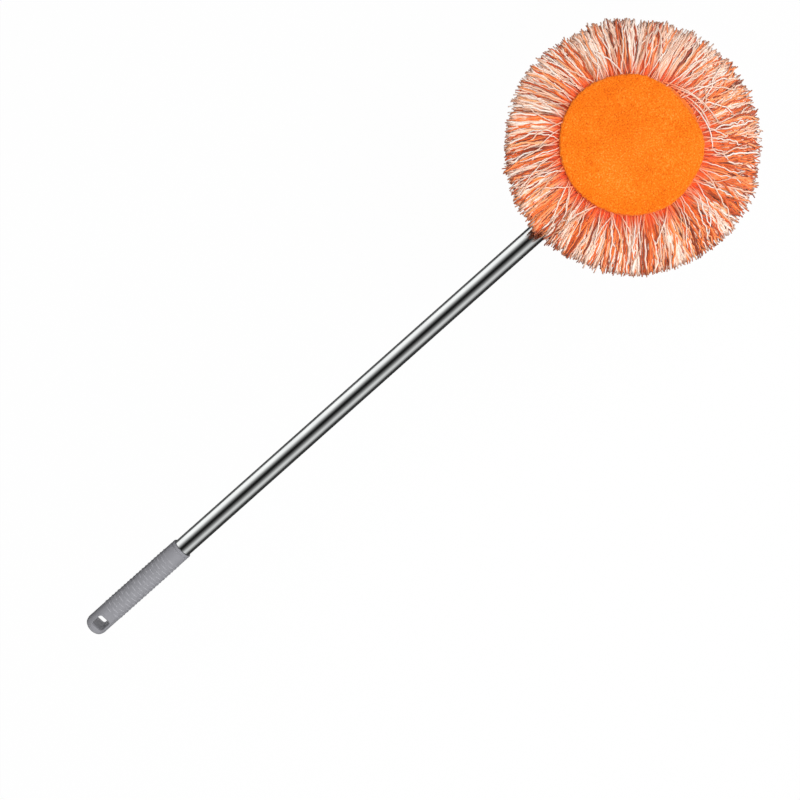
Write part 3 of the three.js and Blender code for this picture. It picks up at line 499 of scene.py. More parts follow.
def yarn_tree():
    """Strands of yarn sewn in by one end round a disc: they leave it outwards, in tufts that lean
    together, waver more on the side where the fringe is ruffled, and droop to their cut ends"""
    tree, given = new_tree("yarn fringe", ["Strands", "Seed", "Tufts", "Points"], [
        "From", "Sweep", "Root radius", "Reach", "Reach spread", "Root height", "Layer height", "Arch",
        "Droop", "Gather", "Lean", "Sway", "Crinkle", "Combed", "Swirl", "Swirl spread", "Ruffle",
        "Ruffle side", "White side", "Root shade side", "Tip shift", "Thickness", "Colour side",
        "Colour share", "Ragged", "Head X"])

    # One point for each strand, spaced a little unevenly round the rim
    points = add(tree, "GeometryNodePoints", {"Count": given["Strands"]})[0]
    index = add(tree, "GeometryNodeInputIndex")[0]
    jitter = add(tree, "FunctionNodeRandomValue", {"ID": index, "Seed": given["Seed"]})[1]
    order = add(tree, "ShaderNodeMath", {0: index, 1: jitter}, operation="ADD")[0]
    turned = add(tree, "ShaderNodeMath", {0: order, 1: given["Strands"]}, operation="DIVIDE")[0]
    angle = add(tree, "ShaderNodeMath", {0: turned, 1: given["Sweep"], 2: given["From"]},
                operation="MULTIPLY_ADD")[0]
    outward = add(tree, "ShaderNodeVectorRotate", {"Vector": (1, 0, 0), "Angle": angle},
                  rotation_type="Z_AXIS")[0]

    # The ruffled side: a smooth factor that is 1 there and 0 at the far side
    side_way = add(tree, "ShaderNodeVectorRotate", {"Vector": (1, 0, 0), "Angle": given["Ruffle side"]},
                   rotation_type="Z_AXIS")[0]
    facing = add(tree, "ShaderNodeVectorMath", {0: outward, 1: side_way}, operation="DOT_PRODUCT")["Value"]
    ruffled = add(tree, "ShaderNodeMapRange", {
        "Value": facing, "From Min": 0.3, "From Max": 0.85, "To Min": 0, "To Max": 1},
        interpolation_type="SMOOTHSTEP")[0]
    wild = add(tree, "ShaderNodeMath", {0: ruffled, 1: given["Ruffle"], 2: 1}, operation="MULTIPLY_ADD")[0]

    # Tufts of uneven width: strands near each other lean to a shared middle, and each tuft leans its
    # own way. The strands that lie higher lean more freely.
    full = add(tree, "ShaderNodeMath", {0: angle, 1: FULL_TURN}, operation="DIVIDE")[0]
    tuft_place = add(tree, "ShaderNodeMath", {0: full, 1: given["Tufts"]}, operation="MULTIPLY")[0]
    warp = add(tree, "ShaderNodeTexNoise", {"Vector": outward, "Scale": 3.5, "Detail": 1})["Fac"]
    uneven = add(tree, "ShaderNodeMath", {0: warp, 1: 16, 2: tuft_place}, operation="MULTIPLY_ADD")[0]
    tuft = add(tree, "ShaderNodeMath", {0: uneven}, operation="FLOOR")[0]
    within = add(tree, "ShaderNodeMath", {0: uneven, 1: tuft}, operation="SUBTRACT")[0]
    off_middle = add(tree, "ShaderNodeMath", {0: 0.5, 1: within}, operation="SUBTRACT")[0]
    rim = add(tree, "ShaderNodeMath", {0: given["Reach"], 1: FULL_TURN}, operation="MULTIPLY")[0]
    tuft_width = add(tree, "ShaderNodeMath", {0: rim, 1: given["Tufts"]}, operation="DIVIDE")[0]
    gathered = add(tree, "ShaderNodeMath", {0: off_middle, 1: tuft_width}, operation="MULTIPLY")[0]
    layer = add(tree, "FunctionNodeRandomValue", {"ID": index, "Seed": 53})[1]
    free = add(tree, "ShaderNodeMath", {0: layer, 1: 1.1, 2: 0.2}, operation="MULTIPLY_ADD")[0]
    gather = add(tree, "FunctionNodeRandomValue", {2: -0.7, 3: 1, "ID": tuft, "Seed": 61})[1]
    gather = add(tree, "ShaderNodeMath", {0: gather, 1: given["Gather"]}, operation="MULTIPLY")[0]
    pull = add(tree, "ShaderNodeMath", {0: gathered, 1: gather}, operation="MULTIPLY")[0]
    pull = add(tree, "ShaderNodeMath", {0: pull, 1: free}, operation="MULTIPLY")[0]
    tuft_lean = add(tree, "FunctionNodeRandomValue", {2: -1, 3: 1, "ID": tuft, "Seed": 5})[1]
    lean = add(tree, "ShaderNodeMath", {0: tuft_lean, 1: given["Lean"]}, operation="MULTIPLY")[0]
    lean = add(tree, "ShaderNodeMath", {0: lean, 1: free}, operation="MULTIPLY")[0]
    lean_wild = add(tree, "ShaderNodeMath", {0: lean, 1: wild, 2: pull}, operation="MULTIPLY_ADD")[0]
    own = add(tree, "FunctionNodeRandomValue", {2: -1, 3: 1, "ID": index, "Seed": 17})[1]
    own_sway = add(tree, "ShaderNodeMath", {0: own, 1: given["Sway"]}, operation="MULTIPLY")[0]
    own_wild = add(tree, "ShaderNodeMath", {0: own_sway, 1: wild}, operation="MULTIPLY")[0]
    whole_lean = add(tree, "ShaderNodeMath", {0: own_wild, 1: lean_wild}, operation="ADD")[0]

    # Combing turns whole parts of the fringe aside, most of all near their roots
    part = add(tree, "ShaderNodeMath", {0: full}, operation="FRACT")[0]
    combed = fill_ramp(add(tree, "ShaderNodeValToRGB", {0: part}), COMBED, "B_SPLINE")
    comb = add(tree, "ShaderNodeMapRange", {
        "Value": combed, "To Min": -math.radians(MOST_COMBED), "To Max": math.radians(MOST_COMBED)})[0]
    comb = add(tree, "ShaderNodeMath", {0: comb, 1: given["Combed"]}, operation="MULTIPLY")[0]
    swirl = add(tree, "ShaderNodeMath", {0: own, 1: given["Swirl spread"], 2: given["Swirl"]},
                operation="MULTIPLY_ADD")[0]
    comb = add(tree, "ShaderNodeMath", {0: swirl, 1: comb}, operation="ADD")[0]

    # Each tuft is white or orange, with some strands of the other colour, and one colour is
    # commoner in some parts of the rim
    patch = add(tree, "ShaderNodeTexNoise", {"Vector": outward, "Scale": 4, "Detail": 1})["Fac"]
    patch = add(tree, "ShaderNodeMapRange", {"Value": patch, "To Min": -0.25, "To Max": 0.25})[0]
    white_way = add(tree, "ShaderNodeVectorRotate", {"Vector": (0.2, 0, 0), "Angle": given["White side"]},
                    rotation_type="Z_AXIS")[0]
    whiter = add(tree, "ShaderNodeVectorMath", {
        0: outward, 1: white_way}, operation="DOT_PRODUCT")["Value"]
    patch = add(tree, "ShaderNodeMath", {0: patch, 1: whiter}, operation="ADD")[0]
    pick = add(tree, "FunctionNodeRandomValue", {"ID": tuft, "Seed": 97})[1]
    odd_one = add(tree, "FunctionNodeRandomValue", {2: -1, 3: 1, "ID": index, "Seed": 71})[1]
    picked = add(tree, "ShaderNodeMath", {0: odd_one, 1: given["Ragged"], 2: pick},
                 operation="MULTIPLY_ADD")[0]
    picked = add(tree, "ShaderNodeMath", {0: picked, 1: patch}, operation="ADD")[0]
    signed = add(tree, "ShaderNodeMath", {0: picked, 1: given["Colour share"]}, operation="SUBTRACT")[0]
    wanted = add(tree, "ShaderNodeMath", {0: signed, 1: given["Colour side"]}, operation="MULTIPLY")[0]
    chosen = add(tree, "ShaderNodeMath", {0: wanted, 1: 0}, operation="GREATER_THAN")[0]

    # Lengths: most strands reach nearly as far as the longest
    short = add(tree, "FunctionNodeRandomValue", {"ID": index, "Seed": 29})[1]
    shorter = add(tree, "ShaderNodeMath", {0: short, 1: 1.6}, operation="POWER")[0]
    tuft_short = add(tree, "FunctionNodeRandomValue", {"ID": tuft, "Seed": 41})[1]
    both = add(tree, "ShaderNodeMath", {0: tuft_short, 1: 0.45, 2: shorter}, operation="MULTIPLY_ADD")[0]
    less = add(tree, "ShaderNodeMath", {0: both, 1: given["Reach spread"]}, operation="MULTIPLY")[0]
    reach = add(tree, "ShaderNodeMath", {0: given["Reach"], 1: less}, operation="SUBTRACT")[0]

    # Tones, and how much painted shade the yarn gets near the root: more in some tufts and on one side
    tone_own = add(tree, "FunctionNodeRandomValue", {"ID": index, "Seed": 67})[1]
    tone_tuft = add(tree, "FunctionNodeRandomValue", {"ID": tuft, "Seed": 83})[1]
    tone = add(tree, "ShaderNodeMix", {0: 0.2, 2: tone_own, 3: tone_tuft})[0]
    # The side of the rim that gets the most painted shade at the root
    root_shade_way = add(tree, "ShaderNodeVectorRotate", {"Vector": (0.45, 0, 0), "Angle": given["Root shade side"]},
                   rotation_type="Z_AXIS")[0]
    root_shade_facing = add(tree, "ShaderNodeVectorMath", {0: outward, 1: root_shade_way}, operation="DOT_PRODUCT")["Value"]
    root_shade_facing = add(tree, "ShaderNodeMath", {0: root_shade_facing, 1: 0}, operation="MAXIMUM")[0]
    root_shade = add(tree, "ShaderNodeMapRange", {"Value": tone_tuft, "To Min": 0.3, "To Max": 1})[0]
    root_shade = add(tree, "ShaderNodeMath", {0: root_shade, 1: root_shade_facing}, operation="ADD", use_clamp=True)[0]

    # Each strand is planted as a straight line that keeps these values of its own
    mark = points
    for label, value in {"turn": angle, "lean": whole_lean, "comb": comb, "reach": reach, "layer": layer,
                         "tone": tone, "root_shade": root_shade, "strand": index, "wild": wild}.items():
        mark = add(tree, "GeometryNodeStoreNamedAttribute", {
            "Geometry": mark, "Name": label, "Value": value})[0]

    line = add(tree, "GeometryNodeCurvePrimitiveLine", {"End": (1, 0, 0)})[0]
    thread = add(tree, "GeometryNodeResampleCurve", {"Curve": line, "Count": given["Points"]})[0]
    planted = add(tree, "GeometryNodeInstanceOnPoints", {
        "Points": mark, "Selection": chosen, "Instance": thread})[0]
    real = add(tree, "GeometryNodeRealizeInstances", {"Geometry": planted})[0]

    # It runs outwards, leans aside more towards its tip, arches up and droops
    along = add(tree, "GeometryNodeSplineParameter")["Factor"]
    read = {label: add(tree, "GeometryNodeInputNamedAttribute", {"Name": label})[0]
            for label in ("turn", "lean", "comb", "reach", "layer", "strand", "wild")}
    span = add(tree, "ShaderNodeMath", {
        0: read["reach"], 1: given["Root radius"]}, operation="SUBTRACT")[0]
    out = add(tree, "ShaderNodeMath", {0: span, 1: along, 2: given["Root radius"]},
              operation="MULTIPLY_ADD")[0]
    late = add(tree, "ShaderNodeMath", {0: along, 1: 1.35}, operation="POWER")[0]
    aside = add(tree, "ShaderNodeMath", {0: read["lean"], 1: late}, operation="MULTIPLY")[0]
    fall = add(tree, "ShaderNodeMath", {0: along, 1: 1.8}, operation="POWER")[0]
    drop = add(tree, "ShaderNodeMath", {0: fall, 1: given["Droop"]}, operation="MULTIPLY")[0]
    bow = add(tree, "ShaderNodeMath", {0: along, 1: math.pi}, operation="MULTIPLY")[0]
    arched = add(tree, "ShaderNodeMath", {0: bow}, operation="SINE")[0]
    level = add(tree, "ShaderNodeMath", {0: arched, 1: given["Arch"], 2: given["Root height"]},
                operation="MULTIPLY_ADD")[0]
    lifted = add(tree, "ShaderNodeMath", {0: read["layer"], 1: given["Layer height"], 2: level},
                 operation="MULTIPLY_ADD")[0]
    height = add(tree, "ShaderNodeMath", {0: lifted, 1: drop}, operation="SUBTRACT")[0]

    # Crinkle: each strand follows its own slow and quick waves, which grow from the root
    own_place = add(tree, "ShaderNodeMath", {0: read["strand"], 1: 7.31}, operation="MULTIPLY")[0]
    grow = add(tree, "ShaderNodeMath", {0: along, 1: 0.8}, operation="POWER")[0]
    curl = add(tree, "ShaderNodeMath", {0: read["wild"], 1: 0.45, 2: 0.55}, operation="MULTIPLY_ADD")[0]
    curl = add(tree, "ShaderNodeMath", {0: curl, 1: given["Crinkle"]}, operation="MULTIPLY")[0]
    slow_size = add(tree, "ShaderNodeMath", {0: grow, 1: curl}, operation="MULTIPLY")[0]
    quick_size = add(tree, "ShaderNodeMath", {0: slow_size, 1: 0.42}, operation="MULTIPLY")[0]
    waves = []
    for pace, second, third, size in (
            (2.2, own_place, given["Seed"], slow_size), (8.5, given["Seed"], own_place, quick_size)):
        at = add(tree, "ShaderNodeMath", {0: along, 1: pace}, operation="MULTIPLY")[0]
        spot = add(tree, "ShaderNodeCombineXYZ", {0: at, 1: second, 2: third})[0]
        wave = add(tree, "ShaderNodeTexNoise", {"Vector": spot, "Scale": 1, "Detail": 0})["Color"]
        off = add(tree, "ShaderNodeVectorMath", {0: wave, 1: (0.5, 0.5, 0.5)}, operation="SUBTRACT")[0]
        waves.append(add(tree, "ShaderNodeVectorMath", {0: off, "Scale": size}, operation="SCALE")[0])
    wander = add(tree, "ShaderNodeVectorMath", {0: waves[0], 1: waves[1]}, operation="ADD")[0]
    flat_wander = add(tree, "ShaderNodeVectorMath", {0: wander, 1: (0.55, 1, 0.45)},
                      operation="MULTIPLY")[0]

    # Then it is turned to its place round the rim, moved to the head and kept off the ground
    straight = add(tree, "ShaderNodeCombineXYZ", {0: out, 1: aside, 2: height})[0]
    wavy = add(tree, "ShaderNodeVectorMath", {0: straight, 1: flat_wander}, operation="ADD")[0]
    early = add(tree, "ShaderNodeMath", {0: along, 1: 0.75}, operation="POWER")[0]
    whole_turn = add(tree, "ShaderNodeMath", {0: early, 1: read["comb"], 2: read["turn"]},
                     operation="MULTIPLY_ADD")[0]
    round_rim = add(tree, "ShaderNodeVectorRotate", {"Vector": wavy, "Angle": whole_turn},
                    rotation_type="Z_AXIS")[0]
    tip_shift = add(tree, "ShaderNodeMath", {0: along, 1: given["Tip shift"], 2: given["Head X"]},
                    operation="MULTIPLY_ADD")[0]
    to_head = add(tree, "ShaderNodeCombineXYZ", {0: tip_shift})[0]
    final = add(tree, "ShaderNodeVectorMath", {0: round_rim, 1: to_head}, operation="ADD")[0]
    off_floor = add(tree, "ShaderNodeCombineXYZ", {0: -1, 1: -1, 2: given["Thickness"]})[0]
    final = add(tree, "ShaderNodeVectorMath", {0: final, 1: off_floor}, operation="MAXIMUM")[0]
    shaped = add(tree, "GeometryNodeSetPosition", {"Geometry": real, "Position": final})[0]
    shaped = add(tree, "GeometryNodeStoreNamedAttribute", {
        "Geometry": shaped, "Name": "along", "Value": along})[0]

    # Strands differ a little in thickness, and their ends taper
    plump = add(tree, "ShaderNodeMapRange", {"Value": read["layer"], "To Min": 0.85, "To Max": 1.15})[0]
    late_taper = add(tree, "ShaderNodeMapRange", {
        "Value": along, "From Min": 0.9, "From Max": 1, "To Min": 1, "To Max": 0.7})[0]
    width = add(tree, "ShaderNodeMath", {0: plump, 1: late_taper}, operation="MULTIPLY")[0]
    profile = add(tree, "GeometryNodeCurvePrimitiveCircle", {
        "Resolution": 4, "Radius": given["Thickness"]})[0]
    mesh = add(tree, "GeometryNodeCurveToMesh", {
        "Curve": shaped, "Profile Curve": profile, "Scale": width, "Fill Caps": True})[0]
    return end_tree(tree, mesh, given["Material"])


# Hand grip: a moulded tube whose rounded closed end has two small flats and a hang hole

GRIP_LENGTH = grip_high.x - grip_low.x
GRIP_RADIUS = (grip_high.z - grip_low.z) / 2
RIB_HEIGHT = 0.7 * MM
SKIN_RADIUS = GRIP_RADIUS - RIB_HEIGHT
FLAT_HEIGHT = 13.5 * MM
FLAT_LENGTH = 36 * MM
SLOPE_LENGTH = 9 * MM
FLAT_SLOPE = (GRIP_RADIUS - FLAT_HEIGHT) / SLOPE_LENGTH
SOFT_EDGE = 2 * MM
TUBE_GAP = 0.3 * MM
CLOSED_END = tube_low.x - TUBE_GAP - grip_low.x
BORE_RADIUS = (tube_high.z - tube_low.z) / 2 + TUBE_GAP
GRIP_ROLL = math.radians(15)


def under_flat(along, height):
    """Brings a height down to the flats or the slopes that run out of them, with a soft edge"""
    limit = FLAT_HEIGHT + max(along - FLAT_LENGTH, 0) * FLAT_SLOPE
    share = max(SOFT_EDGE - abs(abs(height) - limit), 0) / SOFT_EDGE
    return math.copysign(min(abs(height), limit) - share * share * SOFT_EDGE / 4, height)


def rolled(obj):
    """Turns a finished piece of the grip about the pole, as the grip sits on its tube"""
    to_axis = Matrix.Translation((0, 0, AXIS_Z))
    obj.data.transform(to_axis @ Matrix.Rotation(GRIP_ROLL, 4, "X") @ to_axis.inverted())
    return obj


def hand_grip():
    """The grip: its closed end, its plain length, a groove and a rounded rim at the mouth, and the bore"""
    # The closed end: distances along the pole and radii, in mm
    end = [(0, 0), (0.1, 3.9), (0.5, 6), (1.3, 8), (2.6, 10.3), (3.9, 12), (5.2, 13), (7.2, 13.8),
           (9.5, SKIN_RADIUS / MM)]
    outline = [(along * MM, radius * MM) for along, radius in through(end, 4)]

    # The plain length, with a ring at each millimetre, from the closed end to the groove
    groove = int((GRIP_LENGTH - 6 * MM) / MM)
    outline += [(along * MM, SKIN_RADIUS) for along in range(11, groove)]

    # The groove and the rim: distances back from the mouth and heights over the skin, in mm
    lip = [(5.6, 0), (5, -0.1), (4.6, -0.45), (4.2, -0.55), (3.8, -0.45), (3.4, -0.05), (2.9, 0.05),
           (1.2, 0.05), (0.6, -0.05), (0.15, -0.35), (0, -0.8)]
    outline += [(GRIP_LENGTH - back * MM, SKIN_RADIUS + out * MM) for back, out in through(lip, 2)]
    outline += [(GRIP_LENGTH - 0.4 * MM, BORE_RADIUS + 0.1 * MM), (GRIP_LENGTH - 1.2 * MM, BORE_RADIUS)]
    outline += [(CLOSED_END + 60 * MM, BORE_RADIUS), (CLOSED_END, BORE_RADIUS), (CLOSED_END, 0)]

    sides = 128
    points = []
    for along, radius in outline:
        for side in range(sides):
            angle = FULL_TURN * (side + 0.5) / sides
            height = under_flat(along, radius * math.sin(angle))
            points.append((grip_low.x + along, radius * math.cos(angle), AXIS_Z + height))
    grip = tidy_mesh(new_object("grip", points, grid_faces(len(outline), sides)))

    # The flats become one face each, so that the hole cuts cleanly through them
    work = bmesh.new()
    work.from_mesh(grip.data)
    level = FLAT_HEIGHT - 0.01 * MM
    for way in (1, -1):
        flat = [face for face in work.faces
                if all((vert.co.z - AXIS_Z) * way > level
                       and vert.co.x < grip_low.x + FLAT_LENGTH + 0.5 * MM for vert in face.verts)]
        bmesh.ops.dissolve_faces(work, faces=flat)
    work.to_mesh(grip.data)
    work.free()
    cutter = hang_hole_cutter()
    cut = grip.modifiers.new("hang hole", "BOOLEAN")
    cut.operation = "DIFFERENCE"
    cut.solver = "EXACT"
    cut.object = cutter
    bevel(grip, 0.8 * MM, segments=4, angle=62)
    settle(grip, sharp=50)
    bpy.data.objects.remove(cutter)
    return rolled(grip)


HOLE_LENGTH = 13.2 * MM
HOLE_WIDTH = 15 * MM
HOLE_CORNER = 2.2 * MM
HOLE_X = grip_low.x + 19 * MM


def hang_hole_cutter():
    """What the hang hole takes away: a hole with round corners that flares out at both flats, and less
    at the lower one"""
    along, across = HOLE_LENGTH / 2 - HOLE_CORNER, HOLE_WIDTH / 2 - HOLE_CORNER

    # Heights from the pole's axis, and how much wider the hole is there, in mm
    flare = [(0, 0), (6, 0.2), (9.5, 0.5), (11.3, 0.9), (12.5, 1.6), (13.2, 2.4), (14, 3.6), (20, 3.6)]
    flare = [(-height, wider * 0.4) for height, wider in reversed(flare[1:])] + flare
    points = []
    for height, wider in flare:
        for quarter, (x, y) in enumerate(((1, 1), (-1, 1), (-1, -1), (1, -1))):
            for step in range(9):
                angle = (quarter + step / 8) * math.pi / 2
                out = HOLE_CORNER + wider * MM
                points.append((HOLE_X + x * along + out * math.cos(angle),
                               y * across + out * math.sin(angle), AXIS_Z + height * MM))
    count = len(points) // len(flare)
    faces = grid_faces(len(flare), count)
    faces += [tuple(range(count)), tuple(range(len(points) - count, len(points)))]
    return tidy_mesh(new_object("hang hole", points, faces))


fit(hand_grip(), "handle", "grip_plastic", grip_plastic, "hand_grip")
ribs = grown("grip_ribs", rib_tree(), {
    "Rows": 20, "Bars in a row": 6, "First row": grip_low.x + 39 * MM, "Pitch": 5.2 * MM,
    "Radius": GRIP_RADIUS, "Bar thickness": 1.0 * MM, "Bar share": 0.94, "Flat height": FLAT_HEIGHT,
    "Flat end": grip_low.x + FLAT_LENGTH, "Slope": FLAT_SLOPE, "Axis height": AXIS_Z,
    "Material": bar_plastic_painted_lighter}, sharp=80)
fit(rolled(ribs), "handle", "grip_plastic", bar_plastic_painted_lighter)


# Pole

def pipe(node, name, wall, edge=0.25 * MM):
    """A drawn tube in the place of a CAD node, with its cut ends broken"""
    low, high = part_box(node)
    radius = (high.z - low.z) / 2
    bore = radius - wall
    profile = [(low.x + edge, bore), (low.x, bore + edge / 2), (low.x, radius - edge / 2),
               (low.x + edge, radius)]
    steps = 24
    length = high.x - low.x - 2 * edge
    profile += [(low.x + edge + length * step / steps, radius) for step in range(1, steps)]
    profile += [(high.x - edge, radius), (high.x, radius - edge / 2), (high.x, bore + edge / 2),
                (high.x - edge, bore)]
    return settle(revolved(name, profile, "X", (0, 0, AXIS_Z), sides=160), sharp=35)


TUBE_WALL = 0.6 * MM
fit(pipe("outer_tube", "tube_outer", TUBE_WALL), "handle", "stainless_tube", tube_steel, "outer_tube")
fit(pipe("inner_tube", "tube_inner", TUBE_WALL), "rod", "stainless_tube", tube_steel, "inner_tube")

# Pieces that keep their CAD form: each is a copy with its edges rounded, by the width in mm at the end
for node, name, body, slot, material, width in (
        ("collet_sleeve", "sleeve", "handle", "dark_plastic", collar_plastic, 0.35),
        ("lock_collar", "collar", "collar", "dark_plastic", collar_plastic, 0.3),
        ("guide_bush", "bush", "slider", "acetal", bush_plastic, 0.3),
        ("pole_socket", "socket", "rod", "grey_plastic", hinge_plastic, 0.6),
        ("socket_screw", "screw_socket", "rod", "zinc_steel", screw_steel, 0.25),
        ("hinge_bolt", "bolt", "head", "zinc_steel", screw_steel, 0.3),
        ("hinge_nut", "nut", "head", "zinc_steel", screw_steel, 0.35),
        *((f"friction_washer_{side}", f"washer_{side}", "head", "acetal", bush_plastic, 0.15)
          for side in (1, 2)),
        ("hinge_bracket", "bracket", "head", "grey_plastic", hinge_plastic, 0.5),
        *((f"bracket_screw_{corner}", f"screw_{corner}", "head", "zinc_steel", screw_steel, 0.25)
          for corner in (1, 2, 3, 4)),
        ("mop_plate", "plate", "head", "plate_plastic", plate_plastic, 0.35)):
    piece = settle(bevel(copy_of(node, name), width * MM), sharp=50)
    fit(piece, body, slot, material, node)


# Head: foam, cover cloth, cuff, elastic and tapes

def foam_pad():
    """The foam between plate and cover: a flat disc with soft edges"""
    low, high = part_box("foam_pad")
    radius = (high.x - low.x) / 2
    deep = high.z - low.z
    edge = [(0, 0), (0, radius - 6 * MM), (0, radius - 1 * MM), (0.5 * MM, radius - 0.2 * MM),
            (deep / 2, radius), (deep - 0.8 * MM, radius - 0.3 * MM), (deep, radius - 1.6 * MM),
            (deep, radius - 8 * MM), (deep, 0)]
    pad = revolved("foam", [(low.z + up, out) for up, out in edge], "Z", (HEAD_X, 0, 0), 96, False)
    return settle(pad, sharp=60)


foam = fit(foam_pad(), "head", "foam", pad_foam, "foam_pad")


def cover_cloth_disc():
    """The round cloth on which plush and tapes are sewn, and its radius"""
    low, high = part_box("cover_base")
    radius = (high.x - low.x) / 2
    deep = high.z - low.z
    edge = [(0, 0)] + [(0, radius * share) for share in (0.2, 0.4, 0.6, 0.8, 0.9)]
    edge += [(0, radius - 0.5 * MM), (deep * 0.2, radius - 0.1 * MM), (deep * 0.5, radius),
             (deep * 0.8, radius - 0.1 * MM), (deep, radius - 0.5 * MM)]
    edge += [(deep, radius * share) for share in (0.9, 0.8, 0.6, 0.4, 0.2)] + [(deep, 0)]
    edge = [(low.z + up, out) for up, out in edge]
    disc = revolved("cover_cloth", edge, "Z", (HEAD_X, 0, 0), 120, False)
    return settle(disc, sharp=60), radius


# The cuff's cloth, and how high in mm and how deep its gathers are
CUFF_THICK = 0.8 * MM
GATHERS = 44
GATHER_HIGH = 0.9
GATHER_DEEP = 0.25 * MM


def back_cuff():
    """The cover's wall down the plate's rim and the lip that the elastic gathers behind the plate"""
    low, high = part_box("back_cuff")
    outer = (high.x - low.x) / 2
    wall = [(high.z, outer), (high.z - 4 * MM, outer + 0.1 * MM), (high.z - 9 * MM, outer - 0.1 * MM),
            (low.z + 5 * MM, outer), (low.z + 3.2 * MM, outer - 0.7 * MM)]
    lip = [(2.6, 2.4), (2.0, 4.8), (1.4, 7.2), (1.0, 9.4), (0.9, 11.6), (1.3, 13)]
    sides = 360
    path = [(z, r, 0.0) for z, r in wall]
    path += [(low.z + up * MM, outer - back * MM, step / len(lip))
             for step, (up, back) in enumerate(lip, 1)]
    path = through(path, 3)
    rings = []
    for inset, way in ((0, path), (CUFF_THICK, path[::-1])):
        for z, r, gather in way:
            ring = []
            for side in range(sides):
                angle = FULL_TURN * side / sides
                spot = Vector((math.cos(angle) * 2.2, math.sin(angle) * 2.2, 4))
                loose = 0.5 + noise.noise(spot)
                fold = math.sin(GATHERS * angle + 2.5 * noise.noise(spot * 1.7))
                up = gather * (GATHER_HIGH * fold * loose) * MM
                depth = (r - inset * (1 - gather)) + GATHER_DEEP * fold * gather
                lift = z + up + inset * min(gather * 1.6, 1)
                ring.append((HEAD_X + depth * math.cos(angle), depth * math.sin(angle), lift))
            rings.extend(ring)
    cuff = tidy_mesh(new_object("cuff", rings, grid_faces(2 * len(path), sides, True)))
    return settle(cuff, sharp=70)


def elastic():
    """The cord in the cuff: a closed ring"""
    low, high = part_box("elastic_cord")
    thick = (high.z - low.z) / 2
    radius = (high.x - low.x) / 2 - thick
    section = [((low.z + high.z) / 2 + thick * math.sin(FULL_TURN * step / 12),
                radius + thick * math.cos(FULL_TURN * step / 12)) for step in range(12)]
    return settle(revolved("elastic", section, "Z", (HEAD_X, 0, 0), 180), sharp=180)


# The tapes' inner and outer radius, how deep one is, and how far one lies below the other
TAPE_INNER = 83.8 * MM
TAPE_OUTER = 87.1 * MM
TAPE_DEEP = 3.2 * MM
TAPE_STEP = 3.5 * MM


def tape(name, top, sweep, middle):
    """A folded binding tape with the yarn's ends sewn in it, all round or over part of the rim"""
    section = [(0.15, 0), (0.85, 0), (1, -0.15), (1, -0.5), (1, -0.85), (0.85, -1), (0.15, -1), (0, -0.8),
               (0, -0.2)]
    whole = sweep == 360
    steps = int(sweep)
    points, count = [], len(section)
    for step in range(steps if whole else steps + 1):
        angle = math.radians(middle - sweep / 2 + sweep * step / steps)
        pucker = 0.15 * MM * math.sin(step * 2.3)
        for out, up in section:
            radius = TAPE_INNER + (TAPE_OUTER - TAPE_INNER - 0.2 * MM) * out + pucker * out
            points.append((HEAD_X + radius * math.cos(angle), radius * math.sin(angle),
                           top + TAPE_DEEP * up))
    rings = steps if whole else steps + 1
    faces = grid_faces(rings, count, whole)
    if not whole:
        faces += [tuple(range(count)), tuple(range((rings - 1) * count, rings * count))]
    return settle(tidy_mesh(new_object(name, points, faces)), sharp=60)


cloth_disc, cloth_radius = cover_cloth_disc()
fit(cloth_disc, "cover", "orange_cloth", cover_cloth, "cover_base")
cuff = fit(back_cuff(), "cover", "orange_cloth", cover_cloth, "back_cuff")
cord = fit(elastic(), "cover", "elastic", cord_elastic, "elastic_cord")
tape_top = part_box("cover_base")[0].z - 0.3 * MM
tapes = [fit(tape(name, tape_top - level * TAPE_STEP, sweep, middle), "cover", slot, tape_cloth)
         for name, level, sweep, middle, slot in (
             ("tape_orange", 0, 360, 0, "orange_cloth"), ("tape_white", 1, 360, 0, "orange_cloth"),
             ("tape_left", 2, 80, 90, "orange_cloth"), ("tape_right", 2, 80, -90, "orange_cloth"))]


# Plush disc

# Shares of its radius: where the rim starts, and half the width of the rim's roll. Shares of its height:
# half the height of that roll, where the crown starts and how far it rises.
RIM_SHARE, ROLL_WIDE_SHARE = 0.955, 0.033
ROLL_HIGH_SHARE, SHOULDER_SHARE, CROWN_SHARE = 0.33, 0.67, 0.33

# How deep its pile is. The pile stands up inside this share of the radius, and the rim's seam is uneven
# from this share outwards.
PILE_DEPTH = 0.42 * MM
PILE_TO_SHARE, UNEVEN_FROM_SHARE = 0.96, 0.93

# How far the plush reaches, in mm, at every 15 degrees from +X: it is a little flat on one side
MEAN_REACH = 90
PLUSH_REACH = (81.2, 83.0, 85.4, 88.0, 88.8, 90.6, 92.6, 93.2, 92.8, 92.0, 91.2, 90.2,
               89.4, 88.3, 87.2, 87.0, 86.2, 87.0, 86.8, 85.6, 87.6, 88.6, 86.4, 82.0)


def plush_reach(turn):
    """The plush's radius at a share of a full turn"""
    place = turn % 1 * len(PLUSH_REACH)
    first = int(place)
    four = (PLUSH_REACH[(first + k) % len(PLUSH_REACH)] for k in (-1, 0, 1, 2))
    return between(*four, place - first) * MM


